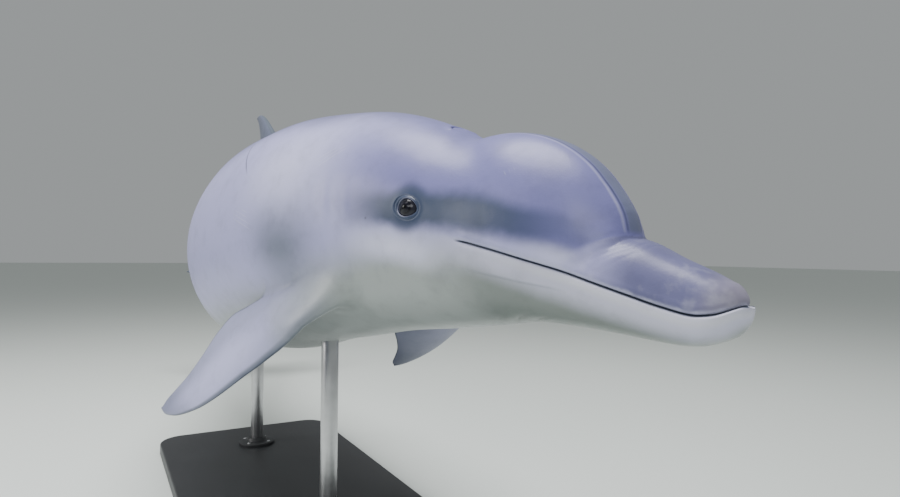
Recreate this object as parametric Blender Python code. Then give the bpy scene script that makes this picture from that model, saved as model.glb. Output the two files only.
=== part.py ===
"""A life-size bottlenose dolphin model on a plain display stand, parted where its body parts meet.

Every flesh piece is first laid out straight: s is the distance back from the tip of the upper beak,
y is to the animal's left and z is up. The spine then carries each point to its place in the pose.
The row frame has its origin at the middle of the stand's underside, +X ahead and +Z up.
"""

import math

import bmesh
import bpy
import numpy as np
from mathutils import Matrix, Vector

# Driving dimensions, in metres and degrees.
BEAK_HEIGHT = 0.50
STAND_CENTRE_S = 1.05
GAP = 0.0003
FIN_EDGE = 0.0007
JAW_LEAD = 0.0055
JAW_LEAD_END = 0.2
MOUTH_CORNER_S = 0.297
CREASE_S = 0.118
BODY_SIDES = 36
HEAD_STEP = 0.0163
# The lengths behind the mouth: start, end, distance between sections and colour.
LENGTHS = {
    "head": (0.297, 0.46, 0.0163, "head"),
    "neck": (0.46, 0.545, 0.028, "head"),
    "chest": (0.545, 0.92, 0.056, "back"),
    "trunk_middle": (0.92, 1.30, 0.056, "back"),
    "trunk_rear": (1.30, 1.68, 0.056, "back"),
    "tail_stock_front": (1.68, 2.05, 0.056, "back"),
    "tail_stock_rear": (2.05, 2.44, 0.056, "back"),
}

EYE_S = 0.372
EYE_Z = 0.070
EYE_RADIUS = 0.0165
EYE_OPENING = 0.0235

BLOWHOLE_S = 0.398
BLOWHOLE_WIDTH = 0.046
BLOWHOLE_LENGTH = 0.024
BLOWHOLE_DEPTH = 0.012

FIN_START_S = 1.065
FIN_HEIGHT = 0.235
FIN_SECTIONS = (-0.13, 0.0, 0.08, 0.18, 0.32, 0.48, 0.64, 0.78, 0.89, 0.96, 1.0)
FIN_THICKNESS = 0.038
FLUKE_HALF_SPAN = 0.305
FLUKE_SECTIONS = (0.0, 0.05, 0.12, 0.22, 0.35, 0.5, 0.65, 0.79, 0.9, 0.97, 1.0)
FLUKE_THICKNESS = 0.034

FLIPPER_S = 0.586
FLIPPER_AROUND = 121.5
FLIPPER_LENGTH = 0.366
FLIPPER_CHORD = 0.137
FLIPPER_SECTIONS = (-0.08, 0.0, 0.07, 0.15, 0.24, 0.36, 0.5, 0.64, 0.77, 0.88, 0.95, 0.985, 1.0)
FLIPPER_THICKNESS = 0.026
FLIPPER_TURNED_BY = 0.30
FLIPPER_ROOT_DEPTH = 0.03
# sweep back, drop below level, and turn about its own length, for each side
FLIPPER_POSE = {"right": (64.7, 33.5, -14.5), "left": (80.6, 29.4, 63.1)}

BASE_SIZE = (1.00, 0.46, 0.028)
BASE_EDGE = 0.006
BASE_CORNER = 0.060
ROD_RADIUS = 0.016
ROD_SIDES = 20
ROD_X = {"front": 0.27, "rear": -0.33}
FLANGE_RADIUS = 0.046
FLANGE_HEIGHT = 0.016

# Outline of the body: (distance back, size). Heights are measured from the beak's level.
BACK_HEIGHT = (
    (0, 0.0176), (0.016, 0.0212), (0.034, 0.0277), (0.066, 0.038), (0.12, 0.055), (0.18, 0.057),
    (0.22, 0.077), (0.30, 0.123), (0.347, 0.156), (0.41, 0.184), (0.55, 0.231), (0.80, 0.277), (1.0, 0.291),
    (1.2, 0.286), (1.6, 0.220), (2.0, 0.145), (2.32, 0.095), (2.46, 0.072),
)
BELLY_HEIGHT = (
    (0, -0.027), (0.022, -0.0365), (0.038, -0.0425), (0.066, -0.0462), (0.127, -0.0476),
    (0.22, -0.0532), (0.297, -0.070), (0.408, -0.0958), (0.55, -0.118), (0.80, -0.142), (1.0, -0.166),
    (1.2, -0.163), (1.4, -0.134), (1.8, -0.042), (2.2, 0.028), (2.46, 0.054),
)
HALF_WIDTH = (
    (0, 0.0228), (0.033, 0.0356), (0.066, 0.0417), (0.127, 0.0544), (0.176, 0.0624), (0.22, 0.078),
    (0.30, 0.100), (0.408, 0.1275), (0.55, 0.164), (0.66, 0.190), (0.80, 0.210), (1.0, 0.216),
    (1.2, 0.200), (1.4, 0.167), (1.8, 0.087), (2.2, 0.036), (2.46, 0.012),
)
MOUTH_HEIGHT = (
    (0, 0.0015), (0.02, -0.0088), (0.036, -0.0113), (0.063, -0.0081), (0.098, -0.0010),
    (0.127, 0.0051), (0.198, 0.020), (0.253, 0.030), (0.297, 0.036), (0.402, 0.043), (0.657, 0.051),
    (1.4, 0.059), (1.8, 0.067), (2.2, 0.070), (2.46, 0.063),
)
SQUARENESS = (
    (0, 2.6), (0.1, 2.35), (0.4, 2.15), (0.8, 2.1), (1.2, 2.05), (1.6, 1.9), (2.2, 1.65), (2.46, 1.9),
)
MELON_CENTRE = (0.303, 0.041)
MELON_RADII = (0.176, 0.0916, 0.1325)
CREASE_BLEND = 0.012
# where the melon's foot leans forward, over what length, and how far
MELON_FOOT = (0.120, 0.022, 0.0078)

# Heading and rise of the spine, in degrees, at distances back from the beak.
SPINE_HEADING = (
    (0, 11.4), (0.36, 11.4), (0.51, 8.4), (0.66, 5.4), (1.0, 1.2), (1.6, -7.5), (2.3, -17.0), (2.6, -19.0),
)
SPINE_RISE = (
    (0, -5.1), (0.36, -5.1), (0.51, 0.0), (0.66, 4.9), (1.0, 5.2), (1.6, 6.5), (2.0, 4.0), (2.6, -4.0),
)
SPINE_STEP = 0.004

# Planform of a flipper: (share of its length, edge's distance from its axis as a share of the chord)
FLIPPER_FRONT = (
    (0, 0.76), (0.08, 0.72), (0.16, 0.64), (0.25, 0.57), (0.35, 0.535), (0.56, 0.50), (0.68, 0.457),
    (0.78, 0.384), (0.87, 0.293), (0.93, 0.205), (0.975, 0.115), (1, 0.01),
)
FLIPPER_BACK = (
    (0, 0.42), (0.08, 0.36), (0.16, 0.32), (0.24, 0.32), (0.33, 0.36), (0.45, 0.44), (0.56, 0.385),
    (0.68, 0.245), (0.80, 0.135), (0.90, 0.09), (0.96, 0.065), (1, 0.01),
)
# Planform of the dorsal fin: (share of its height, distance back)
FIN_FRONT = (
    (-0.13, 0.0), (0, 0.015), (0.25, 0.110), (0.5, 0.190), (0.75, 0.270), (0.92, 0.338), (1, 0.385),
)
FIN_BACK = (
    (-0.13, 0.372), (0, 0.352), (0.25, 0.328), (0.5, 0.326), (0.75, 0.350), (0.92, 0.384), (1, 0.404),
)
# Planform of a fluke: (share of its half span, distance back)
FLUKE_FRONT = (
    (0, 2.235), (0.06, 2.262), (0.25, 2.300), (0.5, 2.347), (0.75, 2.405), (0.92, 2.458), (1, 2.498),
)
FLUKE_BACK = (
    (0, 2.452), (0.06, 2.462), (0.25, 2.478), (0.5, 2.472), (0.75, 2.480), (0.92, 2.499), (1, 2.513),
)
FLUKE_LEVEL = 0.064

COLOURS = {
    "beak": (0.30, 0.29, 0.34, 0.42), "jaw": (0.55, 0.56, 0.60, 0.40), "head": (0.34, 0.34, 0.41, 0.40),
    "back": (0.30, 0.31, 0.37, 0.42), "fins": (0.24, 0.25, 0.30, 0.42), "eye": (0.02, 0.015, 0.015, 0.10),
    "stand": (0.12, 0.12, 0.13, 0.50), "rods": (0.62, 0.63, 0.65, 0.32),
}


def along(table, s):
    """A smooth curve through a table of (place, value) that never overshoots its points."""
    places, values = np.array(table, float).T
    steps = np.diff(places)
    slopes = np.diff(values) / steps
    bends = np.concatenate([slopes[:1], np.zeros(len(slopes) - 1), slopes[-1:]])
    for i in range(1, len(slopes)):
        if slopes[i - 1] * slopes[i] > 0:
            before = 2 * steps[i] + steps[i - 1]
            after = steps[i] + 2 * steps[i - 1]
            bends[i] = (before + after) / (before / slopes[i - 1] + after / slopes[i])
    s = np.clip(s, places[0], places[-1])
    i = np.clip(np.searchsorted(places, s) - 1, 0, len(steps) - 1)
    t = (s - places[i]) / steps[i]
    start = (1 + 2 * t) * (1 - t) ** 2 * values[i] + t * (1 - t) ** 2 * steps[i] * bends[i]
    end = t * t * (3 - 2 * t) * values[i + 1] + t * t * (t - 1) * steps[i] * bends[i + 1]
    return start + end


def rounded_tip(s, reach):
    """Grows from 0 at the tip to 1 as a quarter of an ellipse."""
    return math.sqrt(max(1e-6, 1 - (1 - min(max(s / reach, 0), 1)) ** 2))


def body_radius(s, angle):
    """Distance from the mouth level to the skin. The angle runs from straight up to the left."""
    middle = along(MOUTH_HEIGHT, s)
    up = math.cos(angle)
    side = math.sin(angle)
    edge = along(BACK_HEIGHT, s) if up >= 0 else along(BELLY_HEIGHT, s)
    tall = abs(edge - middle) * rounded_tip(s, 0.015)
    wide = along(HALF_WIDTH, s) * rounded_tip(s, 0.030)
    power = along(SQUARENESS, s)
    body = ((abs(up) / tall) ** power + (abs(side) / wide) ** power) ** (-1 / power)
    if up < -0.3:
        return body
    length, width, height = MELON_RADII
    foot_place, foot_length, foot_lean = MELON_FOOT
    leaned = s + foot_lean * math.exp(-(((s - foot_place) / foot_length) ** 2))
    slice_share = 1 - ((leaned - MELON_CENTRE[0]) / length) ** 2
    offset = middle - MELON_CENTRE[1]
    a = (side / width) ** 2 + (up / height) ** 2
    b = up * offset / height**2
    inside = b * b - a * ((offset / height) ** 2 - slice_share)
    melon = (math.sqrt(inside) - b) / a if slice_share > 0 and inside > 0 else 0.0
    blend = CREASE_BLEND * min(max(s / 0.1, 0.05), 1)
    share = min(max(0.5 + 0.5 * (melon - body) / blend, 0), 1)
    return body * (1 - share) + melon * share + blend * share * (1 - share)


def skin_point(s, angle, swell=0.0):
    radius = body_radius(s, angle) + swell
    return (s, math.sin(angle) * radius, along(MOUTH_HEIGHT, s) + math.cos(angle) * radius)


def make_spine():
    """Points of the spine and the back, left and up directions there, one step apart."""
    stations = np.arange(0, 2.7, SPINE_STEP)
    heading = np.radians(along(SPINE_HEADING, stations))
    rise = np.radians(along(SPINE_RISE, stations))
    ahead = np.stack([np.cos(heading) * np.cos(rise), np.sin(heading) * np.cos(rise), np.sin(rise)], 1)
    left = np.stack([-np.sin(heading), np.cos(heading), 0 * heading], 1)
    up = np.cross(ahead, left)
    points = np.concatenate([[[0, 0, 0]], np.cumsum(-ahead * SPINE_STEP, 0)[:-1]])
    middle = [np.interp(STAND_CENTRE_S, stations, points[:, k]) for k in (0, 1)]
    return stations, points - [middle[0], middle[1], -BEAK_HEIGHT], -ahead, left, up


SPINE = make_spine()


def spine_frame(s):
    stations, *rows = SPINE
    t = min(max(s, 0), stations[-1])
    place, back, left, up = (np.array([np.interp(t, stations, row[:, k]) for k in range(3)]) for row in rows)
    return place + back * (s - t), back, left, up


def posed(point):
    """Carries a point (s, y, z) of the straight body to its place in the pose."""
    place, back, left, up = spine_frame(point[0])
    return Vector(place + left * point[1] + up * point[2])


def material(name):
    if name in bpy.data.materials:
        return bpy.data.materials[name]
    made = bpy.data.materials.new(name)
    made.use_nodes = True
    shader = made.node_tree.nodes["Principled BSDF"]
    *colour, roughness = COLOURS[name]
    shader.inputs["Base Color"].default_value = (*colour, 1)
    shader.inputs["Roughness"].default_value = roughness
    shader.inputs["Metallic"].default_value = 1.0 if name == "rods" else 0.0
    return made


def add_object(name, shape, paint, collection):
    """Turns a bmesh into a named object with its faces pointing out."""
    bmesh.ops.recalc_face_normals(shape, faces=shape.faces)
    mesh = bpy.data.meshes.new(name)
    shape.to_mesh(mesh)
    shape.free()
    mesh.materials.append(material(paint))
    mesh.shade_smooth()
    mesh.set_sharp_from_angle(angle=math.radians(50))
    made = bpy.data.objects.new(name, mesh)
    collection.objects.link(made)
    return made


def loft(rings):
    """A closed skin over rings of equally many points. A ring of one point closes to a tip."""
    shape = bmesh.new()
    rows = [[shape.verts.new(p) for p in ring] for ring in rings]
    for low, high in zip(rows, rows[1:]):
        count = max(len(low), len(high))
        for i in range(count):
            j = (i + 1) % count
            corners = [low[i % len(low)], low[j % len(low)], high[j % len(high)], high[i % len(high)]]
            shape.faces.new(list(dict.fromkeys(corners)))
    for ring in (rows[0], rows[-1]):
        if len(ring) > 2:
            shape.faces.new(ring)
    bmesh.ops.triangulate(shape, faces=shape.faces)
    return shape


def stations_between(start, end, step):
    count = max(1, round((end - start) / step))
    return [start + (end - start) * i / count for i in range(count + 1)]


def body_ring(s, swell=0.0, sides=BODY_SIDES):
    return [posed(skin_point(s, 2 * math.pi * i / sides, swell)) for i in range(sides)]


def length_stations(name):
    """Where the sections of one length of the body stand, between two flat cuts."""
    start, end, step, _ = LENGTHS[name]
    return stations_between(start + GAP / 2, end - GAP / 2, step)


def length_shape(name):
    return loft([body_ring(s) for s in length_stations(name)])


def half_ring(s, plane, upper):
    """The upper or lower half of a section, closed along the mouth. The lower jaw leads the upper one."""
    count = BODY_SIDES // 2
    turn = 0 if upper else math.pi
    angles = [turn + math.pi * (i / count - 0.5) for i in range(count + 1)]
    middle = along(MOUTH_HEIGHT, s)
    level = along(MOUTH_HEIGHT, plane) + (GAP / 2 if upper else -GAP / 2)
    points = []
    for angle in angles:
        _, y, z = skin_point(s, angle)
        points.append(posed((plane, y, level + z - middle)))
    return points


def mouth_planes(start, end, step):
    """Where the sections of the beak, melon and lower jaw stand, so that the mouth's two sides match."""
    tip = [s for s in (0.0012, 0.004, 0.009) if s > start]
    return tip + stations_between(max(start + GAP / 2, 0.016), end - GAP / 2, step)


def add_upper(name, planes, paint, collection):
    return add_object(name, loft([half_ring(s, s, True) for s in planes]), paint, collection)


def jaw_section(plane):
    """The section of the lower jaw that stands at this plane, as the jaw leads the upper beak."""
    led = (plane + JAW_LEAD) / (1 + JAW_LEAD / JAW_LEAD_END)
    return led if plane < JAW_LEAD_END else plane


def add_mouth_pieces(collection):
    beak = mouth_planes(0.0, CREASE_S, HEAD_STEP)
    melon = mouth_planes(CREASE_S, MOUTH_CORNER_S, HEAD_STEP)
    add_upper("beak_upper", beak, "beak", collection)
    add_upper("melon", melon, "head", collection)
    jaw_tip = [0.001 - JAW_LEAD, 0.0025 - JAW_LEAD, 0.0045 - JAW_LEAD]
    rings = [half_ring(jaw_section(plane), plane, False) for plane in jaw_tip + beak + melon]
    add_object("lower_jaw", loft(rings), "jaw", collection)


def eye_centre(side):
    """Centre of the eyeball and the direction it looks, from the skin at the eye's height."""
    angles = [math.radians(40 + 0.5 * i) for i in range(120)]
    angle = min(angles, key=lambda a: abs(skin_point(EYE_S, a)[2] - EYE_Z)) * side
    here = posed(skin_point(EYE_S, angle))
    along_body = posed(skin_point(EYE_S + 0.004, angle)) - here
    around = posed(skin_point(EYE_S, angle + 0.02)) - here
    outward = along_body.cross(around).normalized()
    if outward.dot(Vector(spine_frame(EYE_S)[2]) * side) < 0:
        outward = -outward
    depth = math.sqrt(EYE_RADIUS**2 - (EYE_OPENING / 2) ** 2)
    return here - outward * depth, outward


def ball(centre, radius, outward):
    shape = bmesh.new()
    bmesh.ops.create_uvsphere(shape, u_segments=16, v_segments=8, radius=radius)
    turn = outward.to_track_quat("Z", "Y").to_matrix().to_4x4()
    bmesh.ops.transform(shape, matrix=Matrix.Translation(centre) @ turn, verts=shape.verts)
    return shape


def blowhole_prism(grow):
    """A half-round plug let into the top of the head, its round side to the back."""
    half = BLOWHOLE_WIDTH / 2 + grow
    count = 12
    outline = [(BLOWHOLE_S - grow, half)]
    for i in range(count + 1):
        angle = math.pi * i / count
        outline.append((BLOWHOLE_S + (BLOWHOLE_LENGTH + grow) * math.sin(angle), half * math.cos(angle)))
    outline.append((BLOWHOLE_S - grow, -half))
    top = skin_point(BLOWHOLE_S, 0.0)[2]
    levels = (top - BLOWHOLE_DEPTH - grow, top + 0.02)
    return loft([[posed((s, y, z)) for s, y in outline] for z in levels])


def boolean(target, operation, cutter):
    cut = target.modifiers.new(f"{operation.lower()} {cutter.name}", "BOOLEAN")
    cut.operation = operation
    cut.solver = "EXACT"
    cut.object = cutter


def add_cutter(name, shape, collection):
    made = add_object(name, shape, "back", collection)
    made.hide_render = True
    made.display_type = "WIRE"
    return made


def add_head(collection, cutters):
    head = add_object("head", length_shape("head"), "head", collection)
    flap = add_object("blowhole_flap", length_shape("head"), "back", collection)
    boolean(flap, "INTERSECT", add_cutter("blowhole_inside", blowhole_prism(0.0), cutters))
    boolean(head, "DIFFERENCE", add_cutter("blowhole_slot", blowhole_prism(GAP), cutters))
    for name, side in (("left", 1), ("right", -1)):
        centre, outward = eye_centre(side)
        add_object(f"eye_{name}", ball(centre, EYE_RADIUS, outward), "eye", collection)
        socket = add_cutter(f"socket_{name}", ball(centre, EYE_RADIUS + GAP, outward), cutters)
        boolean(head, "DIFFERENCE", socket)


def foil(front, back, thick, count=6):
    """A closed ring of (place along the chord, half thickness), round in front and thin behind."""
    shares = [0.5 - 0.5 * math.cos(math.pi * i / count) for i in range(count + 1)]
    halves = [thick * 2.6 * math.sqrt(x) * (1 - x) ** 0.9 * 0.5 for x in shares]
    upper = [(front + (back - front) * x, half + FIN_EDGE * (x > 0)) for x, half in zip(shares, halves)]
    return upper + [(c, -t) for c, t in upper[:0:-1]]


def add_dorsal_fin(collection):
    """Sections stacked up the fin, each following the line of the back."""
    rings = []
    for share in FIN_SECTIONS:
        front = FIN_START_S + along(FIN_FRONT, share)
        back = FIN_START_S + along(FIN_BACK, share)
        thick = FIN_THICKNESS * (1 - 0.80 * max(share, 0)) + 0.030 * max(0, 0.12 - share)
        section = foil(front, back, thick)
        rings.append([posed((s, half, along(BACK_HEIGHT, s) + FIN_HEIGHT * share)) for s, half in section])
    return add_object("dorsal_fin", loft(rings), "fins", collection)


def add_fluke(name, side, collection):
    rings = []
    for share in FLUKE_SECTIONS:
        y = side * (GAP / 2 + FLUKE_HALF_SPAN * share)
        thick = FLUKE_THICKNESS * (1 - share) ** 0.8 + 0.004
        section = foil(along(FLUKE_FRONT, share), along(FLUKE_BACK, share), thick)
        rings.append([posed((s, y, FLUKE_LEVEL + half)) for s, half in section])
    return add_object(name, loft(rings), "fins", collection)


def flipper_frame(side):
    """Root point, and the directions along the flipper, towards its front edge and through it."""
    sign = 1 if side == "left" else -1
    sweep, drop, twist = (math.radians(a) for a in FLIPPER_POSE[side])
    root = posed(skin_point(FLIPPER_S, sign * math.radians(FLIPPER_AROUND)))
    _, back, left, up = (Vector(v) for v in spine_frame(FLIPPER_S))
    out = left * sign
    axis = (out * math.cos(sweep) + back * math.sin(sweep)) * math.cos(drop) - up * math.sin(drop)
    level = (-back + axis * back.dot(axis)).normalized()
    blade = (Matrix.Rotation(-sign * twist, 3, axis) @ level).normalized()
    return root, axis, -back, blade, out


def add_flipper(side, collection):
    """Sections from inside the chest to the tip. The root's chord lies along the body."""
    root, axis, ahead, blade, out = flipper_frame(side)
    rings = []
    for share in FLIPPER_SECTIONS:
        reached = max(share, 0)
        turned = min(reached / FLIPPER_TURNED_BY, 1)
        chord_way = (ahead * (1 - turned) + blade * turned).normalized()
        chord_way = (chord_way - axis * chord_way.dot(axis) * turned).normalized()
        through = axis.cross(chord_way).normalized()
        centre = root + axis * share * FLIPPER_LENGTH - out * FLIPPER_ROOT_DEPTH * (share < 0)
        front = FLIPPER_CHORD * along(FLIPPER_FRONT, reached)
        back = FLIPPER_CHORD * along(FLIPPER_BACK, reached)
        thick = FLIPPER_THICKNESS * (1 - reached) ** 0.75 + 0.004
        section = foil(front, -back, thick)
        rings.append([centre + chord_way * place + through * half for place, half in section])
    return add_object(f"flipper_{side}", loft(rings), "fins", collection)


def add_base(collection):
    length, width, height = BASE_SIZE
    shape = bmesh.new()
    bmesh.ops.create_cube(shape, size=1.0)
    bmesh.ops.scale(shape, vec=BASE_SIZE, verts=shape.verts)
    bmesh.ops.translate(shape, vec=(0, 0, height / 2), verts=shape.verts)
    upright = [e for e in shape.edges if abs(e.verts[0].co.z - e.verts[1].co.z) > height / 2]
    bmesh.ops.bevel(shape, geom=upright, offset=BASE_CORNER, segments=6, profile=0.5, affect="EDGES")
    top = [e for e in shape.edges if all(v.co.z > height - 1e-6 for v in e.verts) and len(e.link_faces) == 2]
    rim = [e for e in top if any(abs(f.normal.z) < 0.5 for f in e.link_faces)]
    bmesh.ops.bevel(shape, geom=rim, offset=BASE_EDGE, segments=3, profile=0.5, affect="EDGES")
    return add_object("stand_base", shape, "stand", collection)


def add_rod(name, x, collection):
    """A round rod from the base up into the belly, and the flange at its foot."""
    shape = bmesh.new()
    foot = BASE_SIZE[2] + GAP
    top = BEAK_HEIGHT
    bmesh.ops.create_cone(
        shape, cap_ends=True, segments=ROD_SIDES, radius1=ROD_RADIUS, radius2=ROD_RADIUS, depth=top - foot
    )
    bmesh.ops.translate(shape, vec=(x, 0, (top + foot) / 2), verts=shape.verts)
    rod = add_object(f"stand_rod_{name}", shape, "rods", collection)

    bore = ROD_RADIUS + GAP
    profile = [
        (bore, foot), (FLANGE_RADIUS, foot), (FLANGE_RADIUS, foot + 0.005),
        (FLANGE_RADIUS - 0.002, foot + 0.007), (bore + 0.010, foot + 0.009),
        (bore + 0.006, foot + FLANGE_HEIGHT), (bore, foot + FLANGE_HEIGHT),
    ]
    turned = [
        [Vector((x + r * math.cos(a), r * math.sin(a), z)) for r, z in profile]
        for a in (2 * math.pi * i / ROD_SIDES for i in range(ROD_SIDES))
    ]
    collar = bmesh.new()
    rows = [[collar.verts.new(p) for p in ring] for ring in turned]
    for ring, after in zip(rows, rows[1:] + rows[:1]):
        for i in range(len(profile)):
            j = (i + 1) % len(profile)
            collar.faces.new([ring[i], ring[j], after[j], after[i]])
    add_object(f"stand_flange_{name}", collar, "stand", collection)
    return rod


def main():
    for old in list(bpy.data.objects):
        bpy.data.objects.remove(old, do_unlink=True)
    parts = bpy.data.collections.new("bottlenose_dolphin")
    cutters = bpy.data.collections.new("cutters")
    for made in (parts, cutters):
        bpy.context.scene.collection.children.link(made)

    add_mouth_pieces(parts)
    add_head(parts, cutters)
    for name in list(LENGTHS)[1:]:
        add_object(name, length_shape(name), LENGTHS[name][3], parts)

    stations = [s for name in LENGTHS for s in length_stations(name)]
    body_cutter = add_cutter("body_outline", loft([body_ring(s, GAP) for s in stations]), cutters)
    fins = [add_dorsal_fin(parts), add_fluke("fluke_left", 1, parts), add_fluke("fluke_right", -1, parts)]
    fins += [add_flipper(side, parts) for side in FLIPPER_POSE]
    add_base(parts)
    fins += [add_rod(name, x, parts) for name, x in ROD_X.items()]
    for piece in fins:
        boolean(piece, "DIFFERENCE", body_cutter)


main()
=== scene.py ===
import math
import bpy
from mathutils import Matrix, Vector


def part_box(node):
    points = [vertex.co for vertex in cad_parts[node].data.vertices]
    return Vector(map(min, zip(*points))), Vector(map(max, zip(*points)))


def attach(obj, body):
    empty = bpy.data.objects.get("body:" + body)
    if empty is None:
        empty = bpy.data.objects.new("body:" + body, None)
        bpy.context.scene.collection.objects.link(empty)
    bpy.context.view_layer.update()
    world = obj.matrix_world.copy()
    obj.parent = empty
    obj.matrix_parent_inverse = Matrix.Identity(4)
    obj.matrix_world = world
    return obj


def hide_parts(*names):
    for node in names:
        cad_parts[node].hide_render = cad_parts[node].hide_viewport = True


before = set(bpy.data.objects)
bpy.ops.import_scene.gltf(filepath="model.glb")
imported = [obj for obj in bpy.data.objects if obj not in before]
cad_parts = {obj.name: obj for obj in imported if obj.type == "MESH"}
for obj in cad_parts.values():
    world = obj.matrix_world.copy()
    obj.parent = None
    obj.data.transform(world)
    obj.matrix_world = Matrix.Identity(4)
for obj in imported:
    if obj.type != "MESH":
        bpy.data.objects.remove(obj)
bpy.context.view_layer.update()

from types import SimpleNamespace

import bmesh
import bpy
import numpy as np
from mathutils import Matrix, Vector

print("frame loaded:", len(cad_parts), "nodes")

# Sizes are in metres and angles in degrees, unless a note says otherwise.
# s is the distance back from the tip of the upper beak, and an angle round the body starts at the top.

body = {
    "beakHeight": 0.50,
    "overStand": 1.05,  # the s that stands over the middle of the base
    "spineLength": 2.7,
    "spineStep": 0.004,
    "heading": (
        (0, 11.4), (0.36, 11.4), (0.51, 8.4), (0.66, 5.4), (1.0, 1.2),
        (1.6, -7.5), (2.3, -17.0), (2.6, -19.0),
    ),
    "rise": (
        (0, -5.1), (0.36, -5.1), (0.51, 0.0), (0.66, 4.9), (1.0, 5.2),
        (1.6, 6.5), (2.0, 4.0), (2.6, -4.0),
    ),
    "backHeight": (
        (0, 0.0176), (0.016, 0.0212), (0.034, 0.0277), (0.066, 0.038), (0.12, 0.055), (0.18, 0.057),
        (0.22, 0.077), (0.30, 0.123), (0.347, 0.156), (0.41, 0.184), (0.55, 0.231), (0.80, 0.277),
        (1.0, 0.291), (1.2, 0.286), (1.6, 0.220), (2.0, 0.145), (2.32, 0.095), (2.46, 0.072),
    ),
    "bellyHeight": (
        (0, -0.027), (0.022, -0.0365), (0.038, -0.0425), (0.066, -0.0462), (0.127, -0.0476),
        (0.22, -0.0532), (0.297, -0.070), (0.408, -0.0958), (0.55, -0.118), (0.80, -0.142), (1.0, -0.166),
        (1.2, -0.163), (1.4, -0.134), (1.8, -0.042), (2.2, 0.028), (2.46, 0.054),
    ),
    "halfWidth": (
        (0, 0.0228), (0.033, 0.0356), (0.066, 0.0417), (0.127, 0.0544), (0.176, 0.0624), (0.22, 0.078),
        (0.30, 0.100), (0.408, 0.1275), (0.55, 0.164), (0.66, 0.190), (0.80, 0.210), (1.0, 0.216),
        (1.2, 0.200), (1.4, 0.167), (1.8, 0.087), (2.2, 0.036), (2.46, 0.012),
    ),
    "mouthHeight": (
        (0, 0.0015), (0.02, -0.0088), (0.036, -0.0113), (0.063, -0.0081), (0.098, -0.0010),
        (0.127, 0.0051), (0.198, 0.020), (0.253, 0.030), (0.297, 0.036), (0.402, 0.043),
        (0.657, 0.051), (1.4, 0.059), (1.8, 0.067), (2.2, 0.070), (2.46, 0.063),
    ),
    "squareness": (
        (0, 2.6), (0.1, 2.35), (0.4, 2.15), (0.8, 2.1), (1.2, 2.05), (1.6, 1.9), (2.2, 1.65), (2.46, 1.9),
    ),
    "tipTall": 0.015,
    "tipWide": 0.030,
    "melonCentre": (0.303, 0.041),
    "melonSize": (0.176, 0.0916, 0.1325),
    "melonBlend": 0.012,
    "blendRamp": (0.1, 0.05),  # the melon blends in over less near the tip
    "blendAside": 1.6,
    "melonFoot": (0.120, 0.022, 0.0078),  # where its foot leans forward, over what length, and how far
    "melonLow": -0.3,  # the cosine of the angle where it stops
    "tailEnd": 2.452,
    "tailRound": 0.014,
}

mouth = {
    "corner": 0.297,
    "cornerRamp": (-0.016, 0.004),
    "depth": 0.0052,
    "depthShare": 0.30,  # never deeper than this share of the beak
    "halfWidth": 0.0036,
    "lipSwell": 0.0007,
    "lipPlace": (0.0075, 0.004),  # the swell's distance from the mouth line, and its half width
    "lipStart": 0.03,
    "lipDrop": 0.0016,  # how far the lower lip turns down at its tip
    "lipRound": 0.0050,  # and over what length
    "jawEdge": 0.0012,  # the lower jaw's own place sets in over this much on either side of the line
    "evenFrom": 0.020,  # and at an even angle where the beak is slimmer than this
    "lead": 0.0055,  # how far the lower jaw leads the upper one at the tip
    "leadEnd": 0.2,
}

folds = {  # angles are in radians here
    "crease": (0.0016, 0.0026),  # depth and half width of the fold between beak and melon
    "creaseFades": (0.75, 1.30),  # the angles over which it dies out
    "beakRadius": 0.055,
    "wrinkle": (0.00055, 0.0017),
    "wrinkles": (0.0050, 0.0098, 0.0150, 0.0210, 0.0275),  # how far in front of the crease each one runs
    "wrinkleFades": (0.95, 1.45),
    "wrinkleWave": 0.0009,
    "wrinkleLess": 0.13,  # how much shallower each next one is
    "behindCrease": (0.0060, 0.0125),
    "behindShare": 0.5,
    "neck": ((0.470, 0.0022, 0.012), (0.505, 0.0016, 0.010)),  # place, depth and half width
    "neckSide": (1.75, 0.60),  # the angle where these are deepest, and how far round they reach
    "neckLean": 0.030,
    "neckWave": 0.004,
    "slit": (0.0030, 0.0060),
    "slitStart": (1.50, 1.53),
    "slitEnd": (1.66, 1.70),
    "slitRadius": 0.10,
    "throat": ((0.235, 0.0010), (0.262, 0.0012), (0.290, 0.0010)),  # place and depth
    "throatWidth": 0.0035,
    "throatFades": (2.30, 2.75),
    "throatBow": 0.10,
    "swells": 0.0022,
    "swellStart": (0.30, 0.55),
    "swellEnd": (1.9, 2.3),
}

skinGrid = {
    "firstRows": (0.000002, 0.00008),
    "lastRow": 0.0002,  # how far before the end of the tail
    "columns": 188,
    "rowGaps": (
        (0, 0.00022), (0.001, 0.0006), (0.004, 0.0012), (0.012, 0.0019), (0.03, 0.0025), (0.075, 0.0026),
        (0.085, 0.0013), (0.135, 0.0013), (0.16, 0.0028), (0.30, 0.0032), (0.46, 0.0040), (0.56, 0.0070),
        (0.80, 0.0110), (1.7, 0.0130), (2.1, 0.0085), (2.40, 0.0055), (2.46, 0.0012),
    ),
    "pull": 0.80,  # how strongly the columns crowd to the mouth line
    "pullWidth": 0.25,  # radians
    "pullEnd": (0.33, 0.46),
    "softTurns": 600,  # how often a drawn patch is evened out
}


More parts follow.
